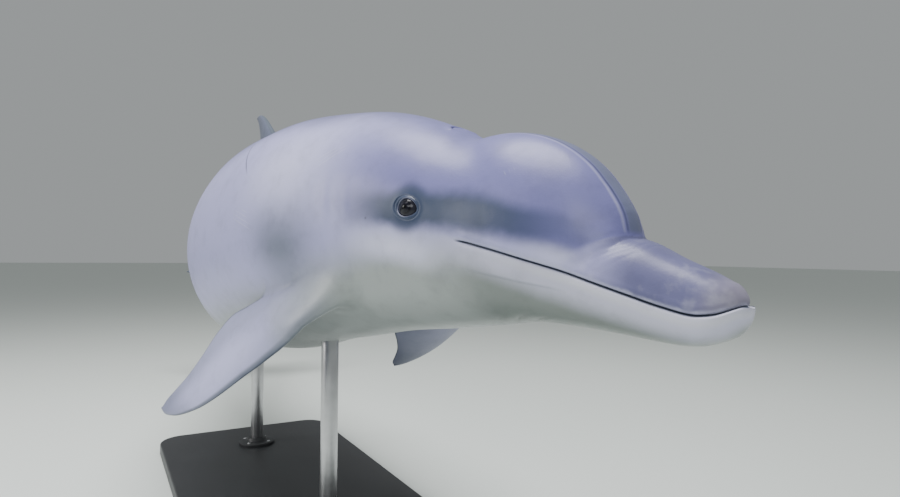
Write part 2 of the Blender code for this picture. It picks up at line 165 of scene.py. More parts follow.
def smoothCurve(table, s):  # a smooth curve through (place, value) that never overshoots its points
    places, values = np.array(table, float).T
    steps = np.diff(places)
    slopes = np.diff(values) / steps
    bends = np.concatenate([slopes[:1], np.zeros(len(slopes) - 1), slopes[-1:]])
    for i in range(1, len(slopes)):
        if slopes[i - 1] * slopes[i] > 0:
            before = 2 * steps[i] + steps[i - 1]
            after = steps[i] + 2 * steps[i - 1]
            bends[i] = (before + after) / (before / slopes[i - 1] + after / slopes[i])
    s = np.clip(s, places[0], places[-1])
    i = np.clip(np.searchsorted(places, s) - 1, 0, len(steps) - 1)
    t = (s - places[i]) / steps[i]
    start = (1 + 2 * t) * (1 - t) ** 2 * values[i] + t * (1 - t) ** 2 * steps[i] * bends[i]
    end = t * t * (3 - 2 * t) * values[i + 1] + t * t * (t - 1) * steps[i] * bends[i + 1]
    return start + end


def smoothStep(low, high, value):
    t = np.clip((value - low) / (high - low), 0, 1)
    return t * t * (3 - 2 * t)


def between(rise, fall, value):  # 1 from the end of the rise to the start of the fall
    return smoothStep(*rise, value) * (1 - smoothStep(*fall, value))


def hump(gap, width):  # 1 where the gap is nothing, and soon 0 on either side
    return np.exp(-((gap / width) ** 2))


def unit(vectors):
    return vectors / np.linalg.norm(vectors, axis=-1, keepdims=True)


def laySpine():
    stations = np.arange(0, body["spineLength"], body["spineStep"])
    heading = np.radians(smoothCurve(body["heading"], stations))
    rise = np.radians(smoothCurve(body["rise"], stations))
    ahead = np.stack([np.cos(heading) * np.cos(rise), np.sin(heading) * np.cos(rise), np.sin(rise)], 1)
    left = np.stack([-np.sin(heading), np.cos(heading), 0 * heading], 1)
    up = np.cross(ahead, left)
    points = np.concatenate([[[0, 0, 0]], np.cumsum(-ahead * body["spineStep"], 0)[:-1]])
    middle = [np.interp(body["overStand"], stations, points[:, k]) for k in (0, 1)]
    places = points - [middle[0], middle[1], -body["beakHeight"]]
    return stations, (places, -ahead, left, up)


spineStations, spineRows = laySpine()


def spineFrame(s):
    t = np.clip(s, 0, spineStations[-1])
    place, back, left, up = (
        np.stack([np.interp(t, spineStations, row[:, k]) for k in range(3)], -1) for row in spineRows
    )
    return place + back * (s - t)[..., None], back, left, up


def posed(s, y, z):  # carries a point of the straight body to its place in the pose
    place, _, left, up = spineFrame(s)
    return place + left * y[..., None] + up * z[..., None]


def tipRound(s, reach):
    return np.sqrt(np.maximum(1e-6, 1 - (1 - np.clip(s / reach, 0, 1)) ** 2))


def skinForm(s, angle):  # the skin's distance from the mouth level, and the melon's rise over the beak
    middle = smoothCurve(body["mouthHeight"], s)
    up = np.cos(angle)
    side = np.sin(angle)
    edge = np.where(up >= 0, smoothCurve(body["backHeight"], s), smoothCurve(body["bellyHeight"], s))
    tail = tipRound(body["tailEnd"] - s, body["tailRound"])
    tall = np.abs(edge - middle) * tipRound(s, body["tipTall"]) * tail
    wide = smoothCurve(body["halfWidth"], s) * tipRound(s, body["tipWide"]) * tail
    power = smoothCurve(body["squareness"], s)
    plain = ((np.abs(up) / tall) ** power + (np.abs(side) / wide) ** power) ** (-1 / power)
    length, width, height = body["melonSize"]
    footPlace, footLength, footLean = body["melonFoot"]
    leaned = s + footLean * hump(s - footPlace, footLength)
    sliceShare = 1 - ((leaned - body["melonCentre"][0]) / length) ** 2
    offset = middle - body["melonCentre"][1]
    a = (side / width) ** 2 + (up / height) ** 2
    b = up * offset / height**2
    inside = b * b - a * ((offset / height) ** 2 - sliceShare)
    melon = np.where((sliceShare > 0) & (inside > 0), (np.sqrt(np.maximum(inside, 0)) - b) / a, 0)
    rampEnd, least = body["blendRamp"]
    aside = 1 + body["blendAside"] * np.sin(2 * angle) ** 2
    blend = body["melonBlend"] * np.clip(s / rampEnd, least, 1) * aside
    share = np.clip(0.5 + 0.5 * (melon - plain) / blend, 0, 1) * (up >= body["melonLow"])
    return plain * (1 - share) + melon * share + blend * share * (1 - share), melon - plain


def layCrease():  # where the melon rises from the beak, for angles from the top down to the mouth
    angles = np.linspace(0, math.pi / 2, 91)
    s = np.linspace(0.09, 0.26, 681)
    over = skinForm(*np.meshgrid(s, angles))[1]
    place = s[(over > 0).argmax(1)]
    for _ in range(6):
        place[1:-1] = (place[:-2] + 2 * place[1:-1] + place[2:]) / 4
    return angles, place


creaseAngles, creasePlaces = layCrease()


def fromCrease(s, angle):  # along the skin, positive on the melon
    turned = np.abs(angle)
    step = 0.02
    before, here, after = (
        np.interp(turned + turn, creaseAngles, creasePlaces) for turn in (-step, 0, step)
    )
    steep = (after - before) / (2 * step) / folds["beakRadius"]
    return (s - here) / np.sqrt(1 + steep**2)


def foldDepth(s, angle):  # creases and wrinkles of the skin
    turned = np.abs(angle)
    gap = fromCrease(s, angle)
    fromBelow = math.pi - turned
    onTop = 1 - smoothStep(*folds["creaseFades"], turned)
    depth, width = folds["crease"]
    fold = depth * hump(gap, width) * onTop
    depth, width = folds["wrinkle"]
    reach = 1 - smoothStep(*folds["wrinkleFades"], turned)
    for k, place in enumerate(folds["wrinkles"]):
        wave = folds["wrinkleWave"] * np.sin(turned * (5 + k) + k)
        fold += depth * (1 - folds["wrinkleLess"] * k) * hump(gap + place + wave, width) * reach
    for place in folds["behindCrease"]:
        fold += folds["behindShare"] * depth * hump(gap - place, width) * onTop
    deepest, around = folds["neckSide"]
    for place, depth, width in folds["neck"]:
        line = place + folds["neckLean"] * np.cos(turned) + folds["neckWave"] * np.sin(4 * turned)
        fold += depth * hump(s - line, width) * hump(turned - deepest, around)
    depth, width = folds["slit"]
    slit = depth * hump(fromBelow * folds["slitRadius"], width)
    fold += slit * between(folds["slitStart"], folds["slitEnd"], s)
    under = smoothStep(*folds["throatFades"], turned)
    for place, depth in folds["throat"]:
        line = place - folds["throatBow"] * fromBelow**2
        fold += depth * hump(s - line, folds["throatWidth"]) * under
    return fold


def softSwells(s, angle):  # broad muscle and blubber under the skin
    slow = np.sin(7.1 * s + 1.3 * np.sin(2.0 * angle)) * np.cos(2 * angle + 3.0 * s)
    quick = np.sin(17.0 * s + 2.0 * angle) * np.sin(3.0 * angle - 9.0 * s)
    return folds["swells"] * (slow + 0.5 * quick) * between(folds["swellStart"], folds["swellEnd"], s)


def skinPlaces(s, angle):
    radius = skinForm(s, angle)[0]
    fromLine = np.abs(math.pi / 2 - np.abs(angle)) * radius
    inMouth = 1 - smoothStep(*(mouth["corner"] + ramp for ramp in mouth["cornerRamp"]), s)
    depth = np.minimum(mouth["depth"], mouth["depthShare"] * radius) * inMouth
    lipFrom, lipWidth = mouth["lipPlace"]
    lips = hump(fromLine - lipFrom, lipWidth) * mouth["lipSwell"] * inMouth * tipRound(s, mouth["lipStart"])
    cut = depth * np.clip(1 - fromLine / mouth["halfWidth"], 0, 1) ** 2
    shaped = radius - cut + lips - foldDepth(s, angle) + softSwells(s, angle)
    below = (np.abs(angle) - math.pi / 2) * np.maximum(radius, mouth["evenFrom"])
    lower = smoothStep(-mouth["jawEdge"], mouth["jawEdge"], below)
    ahead = np.where(s < mouth["leadEnd"], mouth["lead"] * (s / mouth["leadEnd"] - 1), 0) * lower
    plane = s + ahead
    dropped = mouth["lipDrop"] * (1 - tipRound(s, mouth["lipRound"])) * lower
    level = smoothCurve(body["mouthHeight"], plane) - dropped
    return posed(plane, np.sin(angle) * shaped, level + np.cos(angle) * shaped)


def skinSpots(points):  # the s, angle and radius of points near the body
    coarse = slice(None, None, 10)
    handful = 20000
    found = []
    for some in np.array_split(points, max(1, len(points) // handful)):
        gaps = np.einsum("ijk,jk->ij", some[:, None] - spineRows[0][None, coarse], spineRows[1][coarse])
        s = spineStations[coarse][np.abs(gaps).argmin(1)]
        for _ in range(3):
            place, back, left, up = spineFrame(s)
            s = s + ((some - place) * back).sum(1)
        place, _, left, up = spineFrame(s)
        y = ((some - place) * left).sum(1)
        z = ((some - place) * up).sum(1) - smoothCurve(body["mouthHeight"], s)
        found.append(np.stack([s, np.arctan2(y, z), np.hypot(y, z)]))
    return np.concatenate(found, 1)


def skinSpot(point):  # the same for one point
    return [value[0] for value in skinSpots(np.array(point)[None])]


# The skin starts as a flat grid of rows along the body and columns round it.


def rowPlaces():
    places = list(skinGrid["firstRows"])
    while places[-1] < body["tailEnd"] - 1.5 * skinGrid["lastRow"]:
        places.append(places[-1] + float(smoothCurve(skinGrid["rowGaps"], places[-1])))
    places[-1] = body["tailEnd"] - skinGrid["lastRow"]
    return np.array(places)


def columnAngles(s):  # the columns crowd to the mouth line in front and are even behind
    plain = np.linspace(-math.pi, math.pi, skinGrid["columns"] + 1)
    aside = np.abs(plain) - math.pi / 2
    width = skinGrid["pullWidth"]
    most = math.tanh(math.pi / 2 / width) / (math.pi / 2)
    drawn = width * (np.tanh(aside / width) - aside * most)
    pull = skinGrid["pull"] * (1 - smoothStep(*skinGrid["pullEnd"], s))
    return np.sign(plain) * (math.pi / 2 + aside - pull[:, None] * drawn)


class SkinMap:  # which s and angle each crossing of the grid has
    def __init__(self):
        rows = rowPlaces()
        self.angle = columnAngles(rows)
        self.s = np.repeat(rows[:, None], self.angle.shape[1], 1)

    def patch(self, s, angle, halfLong, halfWide):  # its first and last row and column
        i0, i1 = (int(np.abs(self.s[:, 0] - place).argmin()) for place in (s - halfLong, s + halfLong))
        middle = int(np.abs(self.s[:, 0] - s).argmin())
        centre = int(np.abs(self.angle[middle] - angle).argmin())
        half = max(2, int(np.abs(self.angle[middle] - angle - halfWide).argmin()) - centre)
        half = min(half, centre - 2, self.s.shape[1] - 3 - centre)
        return i0, i1, centre - half, centre + half

    def rim(self, patch):  # from the middle of the front side, by the larger angles, all the way round
        i0, i1, j0, j1 = patch
        middle = (j0 + j1) // 2
        first = [(i0, j) for j in range(middle, j1)] + [(i, j1) for i in range(i0, i1)]
        far = [(i1, j) for j in range(j1, j0, -1)]
        last = [(i, j0) for i in range(i1, i0, -1)] + [(i0, j) for j in range(j0, middle)]
        return first + far + last

    def draw(self, rim, s, angle, reach=14):  # moves the rim there, and what is near follows softly
        rows, columns = np.array(rim).T
        i0, i1 = max(0, rows.min() - reach), min(len(self.s) - 1, rows.max() + reach)
        j0, j1 = max(0, columns.min() - reach), min(self.s.shape[1] - 1, columns.max() + reach)
        at = (rows - i0, columns - j0)
        for values, wanted in ((self.s, s), (self.angle, angle)):
            shift = np.zeros((i1 - i0 + 1, j1 - j0 + 1))
            pinned = wanted - values[rows, columns]
            for _ in range(skinGrid["softTurns"]):
                shift[at] = pinned
                around = shift[:-2, 1:-1] + shift[2:, 1:-1] + shift[1:-1, :-2] + shift[1:-1, 2:]
                shift[1:-1, 1:-1] = around / 4
            shift[at] = pinned
            values[i0:i1 + 1, j0:j1 + 1] += shift


skinMap = SkinMap()
print("skin grid:", skinMap.s.shape)

fins = {
    "edge": 0.0007,
    "foil": (1.3, 0.9),  # how full a fin's section is, and how it thins to the back
    "search": (-0.12, 0.6, 181),  # the shares of a fin's length that are tried for where it leaves the body
    "tailGap": 0.004,  # past this far before the end of the tail a fin stands clear of the body
    "rimGap": 0.006,  # and its rim stays this far before the end
    "evened": (2, 3),  # how often the line round a fin's root and the rim of its fillet are smoothed
    "filletOut": 1.3,  # a fillet reaches this many times its own size out on the fin
    "filletRings": (0.17, 0.34, 0.50, 0.67, 0.84),
    "filletShare": 0.12,
    "dorsal": {
        "start": 1.065,
        "height": 0.235,
        "thick": 0.038,
        "thins": 0.80,
        "rootSwell": (0.030, 0.12),
        "front": (
            (-0.13, 0.0), (0, 0.015), (0.25, 0.110), (0.5, 0.190),
            (0.75, 0.270), (0.92, 0.338), (1, 0.385),
        ),
        "back": (
            (-0.13, 0.372), (0, 0.352), (0.25, 0.328), (0.5, 0.326),
            (0.75, 0.350), (0.92, 0.384), (1, 0.404),
        ),
        "fillet": 0.024,  # its reach on the body
        "softened": 8,  # how often the fillet is smoothed
        "rings": 26,  # from the fillet to the tip
    },
    "fluke": {
        "halfSpan": 0.305,
        "level": 0.064,
        "thick": 0.034,
        "thins": 0.8,
        "tipThick": 0.004,
        "front": (
            (0, 2.235), (0.06, 2.262), (0.25, 2.300), (0.5, 2.347),
            (0.75, 2.405), (0.92, 2.458), (1, 2.498),
        ),
        "back": (
            (0, 2.452), (0.06, 2.462), (0.25, 2.478), (0.5, 2.472),
            (0.75, 2.480), (0.92, 2.499), (1, 2.513),
        ),
        "fillet": 0.010,
        "softened": 6,
        "rings": 24,
    },
    "flipper": {
        "s": 0.586,
        "around": 121.5,
        "length": 0.366,
        "chord": 0.137,
        "thick": 0.026,
        "thins": 0.75,
        "tipThick": 0.004,
        "turnedBy": 0.30,  # the share of its length over which the root turns to the blade's own way
        "rootDepth": 0.03,
        "pose": {"right": (64.7, 33.5, -14.5), "left": (80.6, 29.4, 63.1)},  # sweep, drop and twist
        "front": (
            (0, 0.76), (0.08, 0.72), (0.16, 0.64), (0.25, 0.57), (0.35, 0.535), (0.56, 0.50),
            (0.68, 0.457), (0.78, 0.384), (0.87, 0.293), (0.93, 0.205), (0.975, 0.115), (1, 0.01),
        ),
        "back": (
            (0, 0.42), (0.08, 0.36), (0.16, 0.32), (0.24, 0.32), (0.33, 0.36), (0.45, 0.44),
            (0.56, 0.385), (0.68, 0.245), (0.80, 0.135), (0.90, 0.09), (0.96, 0.065), (1, 0.01),
        ),
        "fillet": 0.026,
        "softened": 16,
        "rings": 32,
    },
}


def foilHalf(thick, x):  # half the thickness, at a share of the way from front to back edge
    full, thins = fins["foil"]
    return thick * full * np.sqrt(x) * np.maximum(1 - x, 0) ** thins + fins["edge"] * (x > 0)


def dorsalPlaces(share, x, side):
    fin = fins["dorsal"]
    front = fin["start"] + smoothCurve(fin["front"], share)
    back = fin["start"] + smoothCurve(fin["back"], share)
    s = front + (back - front) * x
    swell, swellEnd = fin["rootSwell"]
    thick = fin["thick"] * (1 - fin["thins"] * np.maximum(share, 0))
    thick = thick + swell * np.maximum(0, swellEnd - share)
    return posed(s, foilHalf(thick, x) * side, smoothCurve(body["backHeight"], s) + fin["height"] * share)


def flukePlaces(bodySide):
    fin = fins["fluke"]

    def places(share, x, side):
        front = smoothCurve(fin["front"], share)
        back = smoothCurve(fin["back"], share)
        half = foilHalf(fin["thick"] * np.maximum(1 - share, 0) ** fin["thins"] + fin["tipThick"], x)
        y = bodySide * fin["halfSpan"] * share
        return posed(front + (back - front) * x, y, fin["level"] - bodySide * half * side)

    return places


def flipperPlaces(sideName):
    fin = fins["flipper"]
    sign = 1 if sideName == "left" else -1
    sweep, drop, twist = np.radians(fin["pose"][sideName])
    start = np.array([fin["s"]])
    angle = sign * math.radians(fin["around"])
    root = skinPlaces(start, np.array([angle]))[0]
    _, back, left, up = (row[0] for row in spineFrame(start))
    out = left * sign
    level = out * math.cos(sweep) + back * math.sin(sweep)
    axis = level * math.cos(drop) - up * math.sin(drop)
    flat = Vector(unit(-back + axis * (back @ axis)))
    blade = np.array(Matrix.Rotation(-sign * twist, 3, Vector(axis)) @ flat)

    def places(share, x, side):
        reached = np.maximum(share, 0)
        turned = np.minimum(reached / fin["turnedBy"], 1)[..., None]
        chordWay = unit(-back * (1 - turned) + blade * turned)
        chordWay = unit(chordWay - axis * (chordWay @ axis)[..., None] * turned)
        through = unit(np.cross(axis, chordWay))
        sunk = fin["rootDepth"] * (share < 0)
        centre = root + axis * (share * fin["length"])[..., None] - out * sunk[..., None]
        front = fin["chord"] * smoothCurve(fin["front"], reached)
        rear = -fin["chord"] * smoothCurve(fin["back"], reached)
        half = foilHalf(fin["thick"] * (1 - reached) ** fin["thins"] + fin["tipThick"], x) * side
        return centre + chordWay * (front + (rear - front) * x)[..., None] + through * half[..., None]

    return places


def foilPlan(count):  # for each point round a fin: share of the way back, and which face it is on
    turn = np.arange(count) / (count / 2)
    x = (1 - np.cos(np.pi * np.where(turn <= 1, turn, 2 - turn))) / 2
    return x, np.where((turn > 0) & (turn < 1), 1.0, np.where(turn > 1, -1.0, 0.0))


def finExit(places, count, least):  # the share at which each line along the fin leaves the body
    x, side = foilPlan(count)
    shares = np.linspace(*fins["search"])
    grid = np.broadcast_arrays(shares[None], x[:, None], side[:, None])
    s, angle, radius = skinSpots(places(*grid).reshape(-1, 3))
    over = (radius - skinForm(s, angle)[0]).reshape(count, -1)
    over = np.where(s.reshape(count, -1) > body["tailEnd"] - fins["tailGap"], 1.0, over)
    leaves = np.full(count, float(least))
    for k in range(count):
        inside = np.flatnonzero(over[k] < 0)
        if len(inside) and inside[-1] < len(shares) - 1:
            i = inside[-1]
            onward = over[k, i] / (over[k, i] - over[k, i + 1])
            leaves[k] = max(least, shares[i] + (shares[i + 1] - shares[i]) * onward)
    return x, side, leaves


def evenRound(values, times):  # smooths a closed row of numbers
    for _ in range(times):
        values = (np.roll(values, 1) + 2 * values + np.roll(values, -1)) / 4
    return values


def finRim(places, count, least, fillet):  # where the fin leaves the skin, and the wider rim of its fillet
    x, side, leaves = finExit(places, count, least)
    rootTurns, rimTurns = fins["evened"]
    leaves = evenRound(leaves, rootTurns)
    s, angle, radius = skinSpots(places(leaves, x, side))
    level = radius.mean()
    across = angle * level
    alongWay = np.roll(s, -1) - np.roll(s, 1)
    acrossWay = np.roll(across, -1) - np.roll(across, 1)
    size = np.hypot(alongWay, acrossWay)
    rimS = evenRound(s - fillet * acrossWay / size, rimTurns)
    rimAngle = evenRound(across + fillet * alongWay / size, rimTurns) / level
    return x, side, leaves, np.minimum(rimS, body["tailEnd"] - fins["rimGap"]), rimAngle


def prepareFin(name, places, settings, least=-0.05, outer=0):  # outer says which face looks outwards
    count = 100
    _, _, _, s, angle = finRim(places, count, least, settings["fillet"])
    halfWide = np.abs(angle[1:count // 2] - angle[:count // 2:-1]).max() / 2
    middle = (s.min() + s.max()) / 2
    patch = skinMap.patch(middle, angle.mean(), (s.max() - s.min()) / 2, halfWide)
    rim = skinMap.rim(patch)
    x, side, leaves, s, angle = finRim(places, len(rim), least, settings["fillet"])
    skinMap.draw(rim, s, angle)
    print("fin", name, "patch", patch, "points round it", len(rim))
    return {"places": places, "patch": patch, "rim": rim, "x": x, "side": side,
            "leaves": leaves, "settings": settings, "outer": outer}


finPlans = [
    prepareFin("dorsal", dorsalPlaces, fins["dorsal"]),
    prepareFin("flukeLeft", flukePlaces(1), fins["fluke"], 0.03),
    prepareFin("flukeRight", flukePlaces(-1), fins["fluke"], 0.03),
    prepareFin("flipperLeft", flipperPlaces("left"), fins["flipper"], outer=-1),
    prepareFin("flipperRight", flipperPlaces("right"), fins["flipper"], outer=1),
]

eyes = {
    "rimReach": 0.024,  # the skin is drawn into rings this far round each eye
    "patchShare": 0.9,
    "outFrom": 0.012,  # the rings' middle is sought this far out from the ball's
    "opening": (0.0139, 0.0108),  # half the opening, along the head and up and down
    "lidThick": 0.0015,
    "lidRamp": 0.0070,  # how far out the lids meet the level of the skin
    "lidRings": (
        (0.0086, 0.0001), (0.0072, 0.0003), (0.0060, 0.0005), (0.0050, 0.0001),
        (0.0043, -0.0004), (0.0036, 0.0002), (0.0028, 0.0007), (0.0020, 0.0008),
        (0.0012, 0.0006), (0.0006, 0.0002), (0.0002, -0.0003),
    ),  # distance out from the opening, and swell
    "edgeRings": ((0.0, 0.0009), (-0.0001, 0.0003)),  # at the opening, and the height over the ball
    "insideRings": (70, 85, 110, 140, 165),
    "pocketGap": 0.0003,
}

blowhole = {
    "halfWidth": 0.021,
    "bow": 0.013,
    "bowBack": 0.3,  # the share of the bow by which the slit moves forward
    "reach": 0.036,
    "patchShare": 0.8,
    "lengthShare": 0.75,  # the drawn rim is this much shorter than it is wide
    "rings": ((0.30, 0.0016, 0), (0.55, 0.0020, 0.0006), (0.75, 0.0024, 0.0014), (0.90, 0.0026, 0.0018)),
    "lips": (  # half opening and lift
        (0.0026, 0.0012), (0.0018, -0.0006), (0.0010, -0.0035), (0.0006, -0.0080),
    ),
}


def skinNormals(s, angle, step=0.003, turn=0.02):
    alongWay = skinPlaces(s + step, angle) - skinPlaces(s - step, angle)
    aroundWay = skinPlaces(s, angle + turn) - skinPlaces(s, angle - turn)
    return unit(np.cross(aroundWay, alongWay))


def roundTurns(rim):  # an even turn for each point of a rim
    return 2 * np.pi * np.arange(len(rim)) / len(rim)


def prepareEye(name):
    low, high = (np.array(corner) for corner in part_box("eye_" + name))
    centre = (low + high) / 2
    s, angle, radius = skinSpot(centre)
    outward = skinNormals(np.array([s]), np.array([angle]))[0]
    hit, around, _ = skinSpot(centre + outward * eyes["outFrom"])
    reach = eyes["rimReach"]
    half = reach * eyes["patchShare"]
    patch = skinMap.patch(hit, around, half, half / radius)
    rim = skinMap.rim(patch)
    turn = roundTurns(rim)
    size = skinForm(np.array([hit]), np.array([around]))[0][0]
    skinMap.draw(rim, hit - reach * np.cos(turn), around + reach * np.sin(turn) / size, 12)
    ball = (high - low).max() / 2
    print("eye", name, "patch", patch, "points round it", len(rim))
    return {"name": name, "centre": centre, "outward": outward, "s": hit, "angle": around, "ball": ball,
            "patch": patch, "rim": rim, "size": size, "turn": turn}


def prepareBlowhole():
    low, high = (np.array(corner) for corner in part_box("blowhole_flap"))
    s = skinSpot((low + high) / 2)[0]
    size = skinForm(np.array([s]), np.array([0.0]))[0][0]
    reach = blowhole["reach"]
    half = reach * blowhole["patchShare"]
    patch = skinMap.patch(s, 0.0, half, half / size)
    rim = skinMap.rim(patch)
    turn = roundTurns(rim)
    rimS = s - blowhole["lengthShare"] * reach * np.cos(turn)
    rimAngle = reach * np.sin(turn) / size
    skinMap.draw(rim, rimS, rimAngle, 10)
    return {"s": s, "size": size, "patch": patch, "rim": rim, "turn": turn,
            "rimS": rimS, "rimAngle": rimAngle}


eyePlans = [prepareEye("left"), prepareEye("right")]
blowholePlan = prepareBlowhole()


class SkinMesh:  # the grid in place, with holes that fins, eyes and blowhole grow from
    def __init__(self, layout):
        rows, columns = layout.s.shape
        self.bm = bmesh.new()
        bmesh.ops.create_grid(self.bm, x_segments=columns - 1, y_segments=rows - 1, size=1.0)
        self.share = self.bm.verts.layers.float.new("finShare")
        self.edge = self.bm.verts.layers.float.new("finEdge")
        self.face = self.bm.verts.layers.float.new("finFace")
        self.at = [[None] * columns for _ in range(rows)]
        places = skinPlaces(layout.s, layout.angle)
        for vert in list(self.bm.verts):
            j = round((vert.co.x + 1) / 2 * (columns - 1))
            i = round((vert.co.y + 1) / 2 * (rows - 1))
            self.at[i][j] = vert
            vert.co = places[i, j]

    def openPatch(self, patch, rim):
        i0, i1, j0, j1 = patch
        faces = []
        for i in range(i0, i1):
            for j in range(j0, j1):
                corners = (self.at[i][j], self.at[i + 1][j], self.at[i + 1][j + 1], self.at[i][j + 1])
                faces.append(self.bm.faces.get(corners))
        bmesh.ops.delete(self.bm, geom=faces, context="FACES")
        return [self.at[i][j] for i, j in rim]

    def loopEdges(self, loop):
        return [self.bm.edges.get(pair) for pair in zip(loop, loop[1:] + loop[:1])]

    def growRing(self, loop, places):  # extrudes a loop's edges and sets the new ring's places
        edges = self.loopEdges(loop)
        made = bmesh.ops.extrude_edge_only(self.bm, edges=edges)["geom"]
        fresh = {item for item in made if isinstance(item, bmesh.types.BMVert)}
        ring = []
        for vert in loop:
            ring.append(next(e.other_vert(vert) for e in vert.link_edges if e.other_vert(vert) in fresh))
        for vert, place in zip(ring, places):
            vert.co = place
        return ring

    def markRing(self, ring, shares, edges, faces):  # the measures that the fins' markings and painted light follow
        for vert, share, edge, face in zip(ring, shares, edges, faces):
            vert[self.share] = share
            vert[self.edge] = edge
            vert[self.face] = face

    def closeLoop(self, loop, fan=True):
        face = bmesh.ops.contextual_create(self.bm, geom=self.loopEdges(loop))["faces"]
        if fan:
            bmesh.ops.poke(self.bm, faces=face)
        else:
            bmesh.ops.triangulate(self.bm, faces=face)

    def closeSeam(self):
        seam = [row[0] for row in self.at] + [row[-1] for row in self.at]
        bmesh.ops.remove_doubles(self.bm, verts=[v for v in seam if v.is_valid], dist=1e-6)
        for row in (0, -1):
            self.closeLoop([v for v in self.at[row] if v.is_valid])


def growFin(skin, plan):
    loop = skin.openPatch(plan["patch"], plan["rim"])
    x, side, leaves = plan["x"], plan["side"], plan["leaves"]
    settings = plan["settings"]
    onSkin = np.array([v.co for v in loop])
    corner = plan["places"](leaves, x, side)
    length = settings.get("length", settings.get("height", settings.get("halfSpan")))
    firstShare = np.minimum(leaves + fins["filletOut"] * settings["fillet"] / length, 0.9)
    onFin = plan["places"](firstShare, x, side)
    fillet = list(loop)
    for t in fins["filletRings"]:
        loop = skin.growRing(loop, (1 - t) ** 2 * onSkin + 2 * t * (1 - t) * corner + t * t * onFin)
        skin.markRing(loop, np.full(len(x), fins["filletShare"] * t), x, t * side * plan["outer"])
        fillet += loop
    for step in range(settings["rings"] + 1):
        t = math.sin(math.pi / 2 * step / settings["rings"])
        share = firstShare + (1 - firstShare) * t
        loop = skin.growRing(loop, plan["places"](share, x, side))
        skin.markRing(loop, np.maximum(fins["filletShare"], share), x, side * plan["outer"])
    skin.closeLoop(loop)
    axes = {"use_axis_" + axis: True for axis in "xyz"}
    for _ in range(settings["softened"]):
        bmesh.ops.smooth_vert(skin.bm, verts=fillet, factor=0.5, **axes)


def growEye(skin, plan):  # lids round the eyeball, and a pocket that holds it
    loop = skin.openPatch(plan["patch"], plan["rim"])
    ball, outward = plan["ball"], plan["outward"]
    turn = plan["turn"]
    wide, tall = eyes["opening"]
    reach = 1 / np.hypot(np.cos(turn) / wide, np.sin(turn) / tall)
    onSkin = skinPlaces(np.array([plan["s"]]), np.array([plan["angle"]]))[0]
    level = float((onSkin - plan["centre"]) @ outward)
    rimTop = np.sqrt(ball**2 - reach**2) + eyes["lidThick"]
    for past, swell in eyes["lidRings"]:
        far = reach + past
        around = plan["angle"] + far * np.sin(turn) / plan["size"]
        places = skinPlaces(plan["s"] - far * np.cos(turn), around)
        lift = (rimTop - level) * (1 - smoothStep(0, eyes["lidRamp"], past)) + swell
        loop = skin.growRing(loop, places + outward * lift[:, None])
    flat = np.array([v.co for v in loop]) - plan["centre"]
    aim = unit(flat - (flat @ outward)[:, None] * outward)
    for past, over in eyes["edgeRings"]:
        lean = np.arcsin((reach + past) / ball)[:, None]
        way = np.cos(lean) * outward + np.sin(lean) * aim
        loop = skin.growRing(loop, plan["centre"] + way * (ball + over))
    for lean in np.radians(eyes["insideRings"]):
        way = math.cos(lean) * outward + math.sin(lean) * aim
        loop = skin.growRing(loop, plan["centre"] + way * (ball + eyes["pocketGap"]))
    skin.closeLoop(loop)


def growBlowhole(skin, plan):  # a crescent slit, its ends to the front
    loop = skin.openPatch(plan["patch"], plan["rim"])
    turn = plan["turn"]
    across = np.sin(turn)
    outward = skinNormals(np.array([plan["s"]]), np.array([0.0]))[0]

    def slit(half):
        y = across * blowhole["halfWidth"]
        bow = blowhole["bow"] * (1 - across**2) - blowhole["bowBack"] * blowhole["bow"]
        return plan["s"] + bow - half * np.cos(turn), y / plan["size"]

    for share, half, lift in blowhole["rings"]:
        slitS, slitAngle = slit(half)
        s = plan["rimS"] * (1 - share) + slitS * share
        angle = plan["rimAngle"] * (1 - share) + slitAngle * share
        loop = skin.growRing(loop, skinPlaces(s, angle) + outward * lift)
    for half, lift in blowhole["lips"]:
        loop = skin.growRing(loop, skinPlaces(*slit(half)) + outward * lift)
    skin.closeLoop(loop, fan=False)


def fillFields(mesh):  # the measures that the skin's markings and its painted light and shade follow
    places = np.empty(len(mesh.vertices) * 3)
    mesh.vertices.foreach_get("co", places)
    places = places.reshape(-1, 3)
    s, angle, radius = skinSpots(places)
    onJaw = (s < 0.95 * mouth["leadEnd"]) & (np.abs(angle) > math.pi / 2)
    s = np.where(onJaw, (s + mouth["lead"]) / (1 + mouth["lead"] / mouth["leadEnd"]), s)
    form, crease = skinForm(np.clip(s, 0.0005, 2.44), angle)
    eyeGap = np.min([np.linalg.norm(places - plan["centre"], axis=1) for plan in eyePlans], 0)
    fields = {
        "alongBody": s,
        "aroundBody": np.abs(angle) / np.pi,
        "fromMouth": (math.pi / 2 - np.abs(angle)) * form,
        "fromMiddle": np.abs(np.sin(angle) * radius),
        "sideways": np.sin(angle) * radius,
        "overBeak": np.clip(crease, -0.05, 0.05),
        "fromEye": eyeGap,
    }
    for name, values in fields.items():
        mesh.attributes.new(name, "FLOAT", "POINT").data.foreach_set("value", values.astype(np.float32))


def makeMesh(bm, name):
    mesh = bpy.data.meshes.new(name)
    bm.to_mesh(mesh)
    bm.free()
    mesh.shade_smooth()
    piece = bpy.data.objects.new(name, mesh)
    bpy.context.scene.collection.objects.link(piece)
    return piece


def placePiece(piece, nodes):  # it rides on the one body there is, in place of those nodes
    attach(piece, "root")
    if nodes:
        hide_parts(*nodes)
    return piece


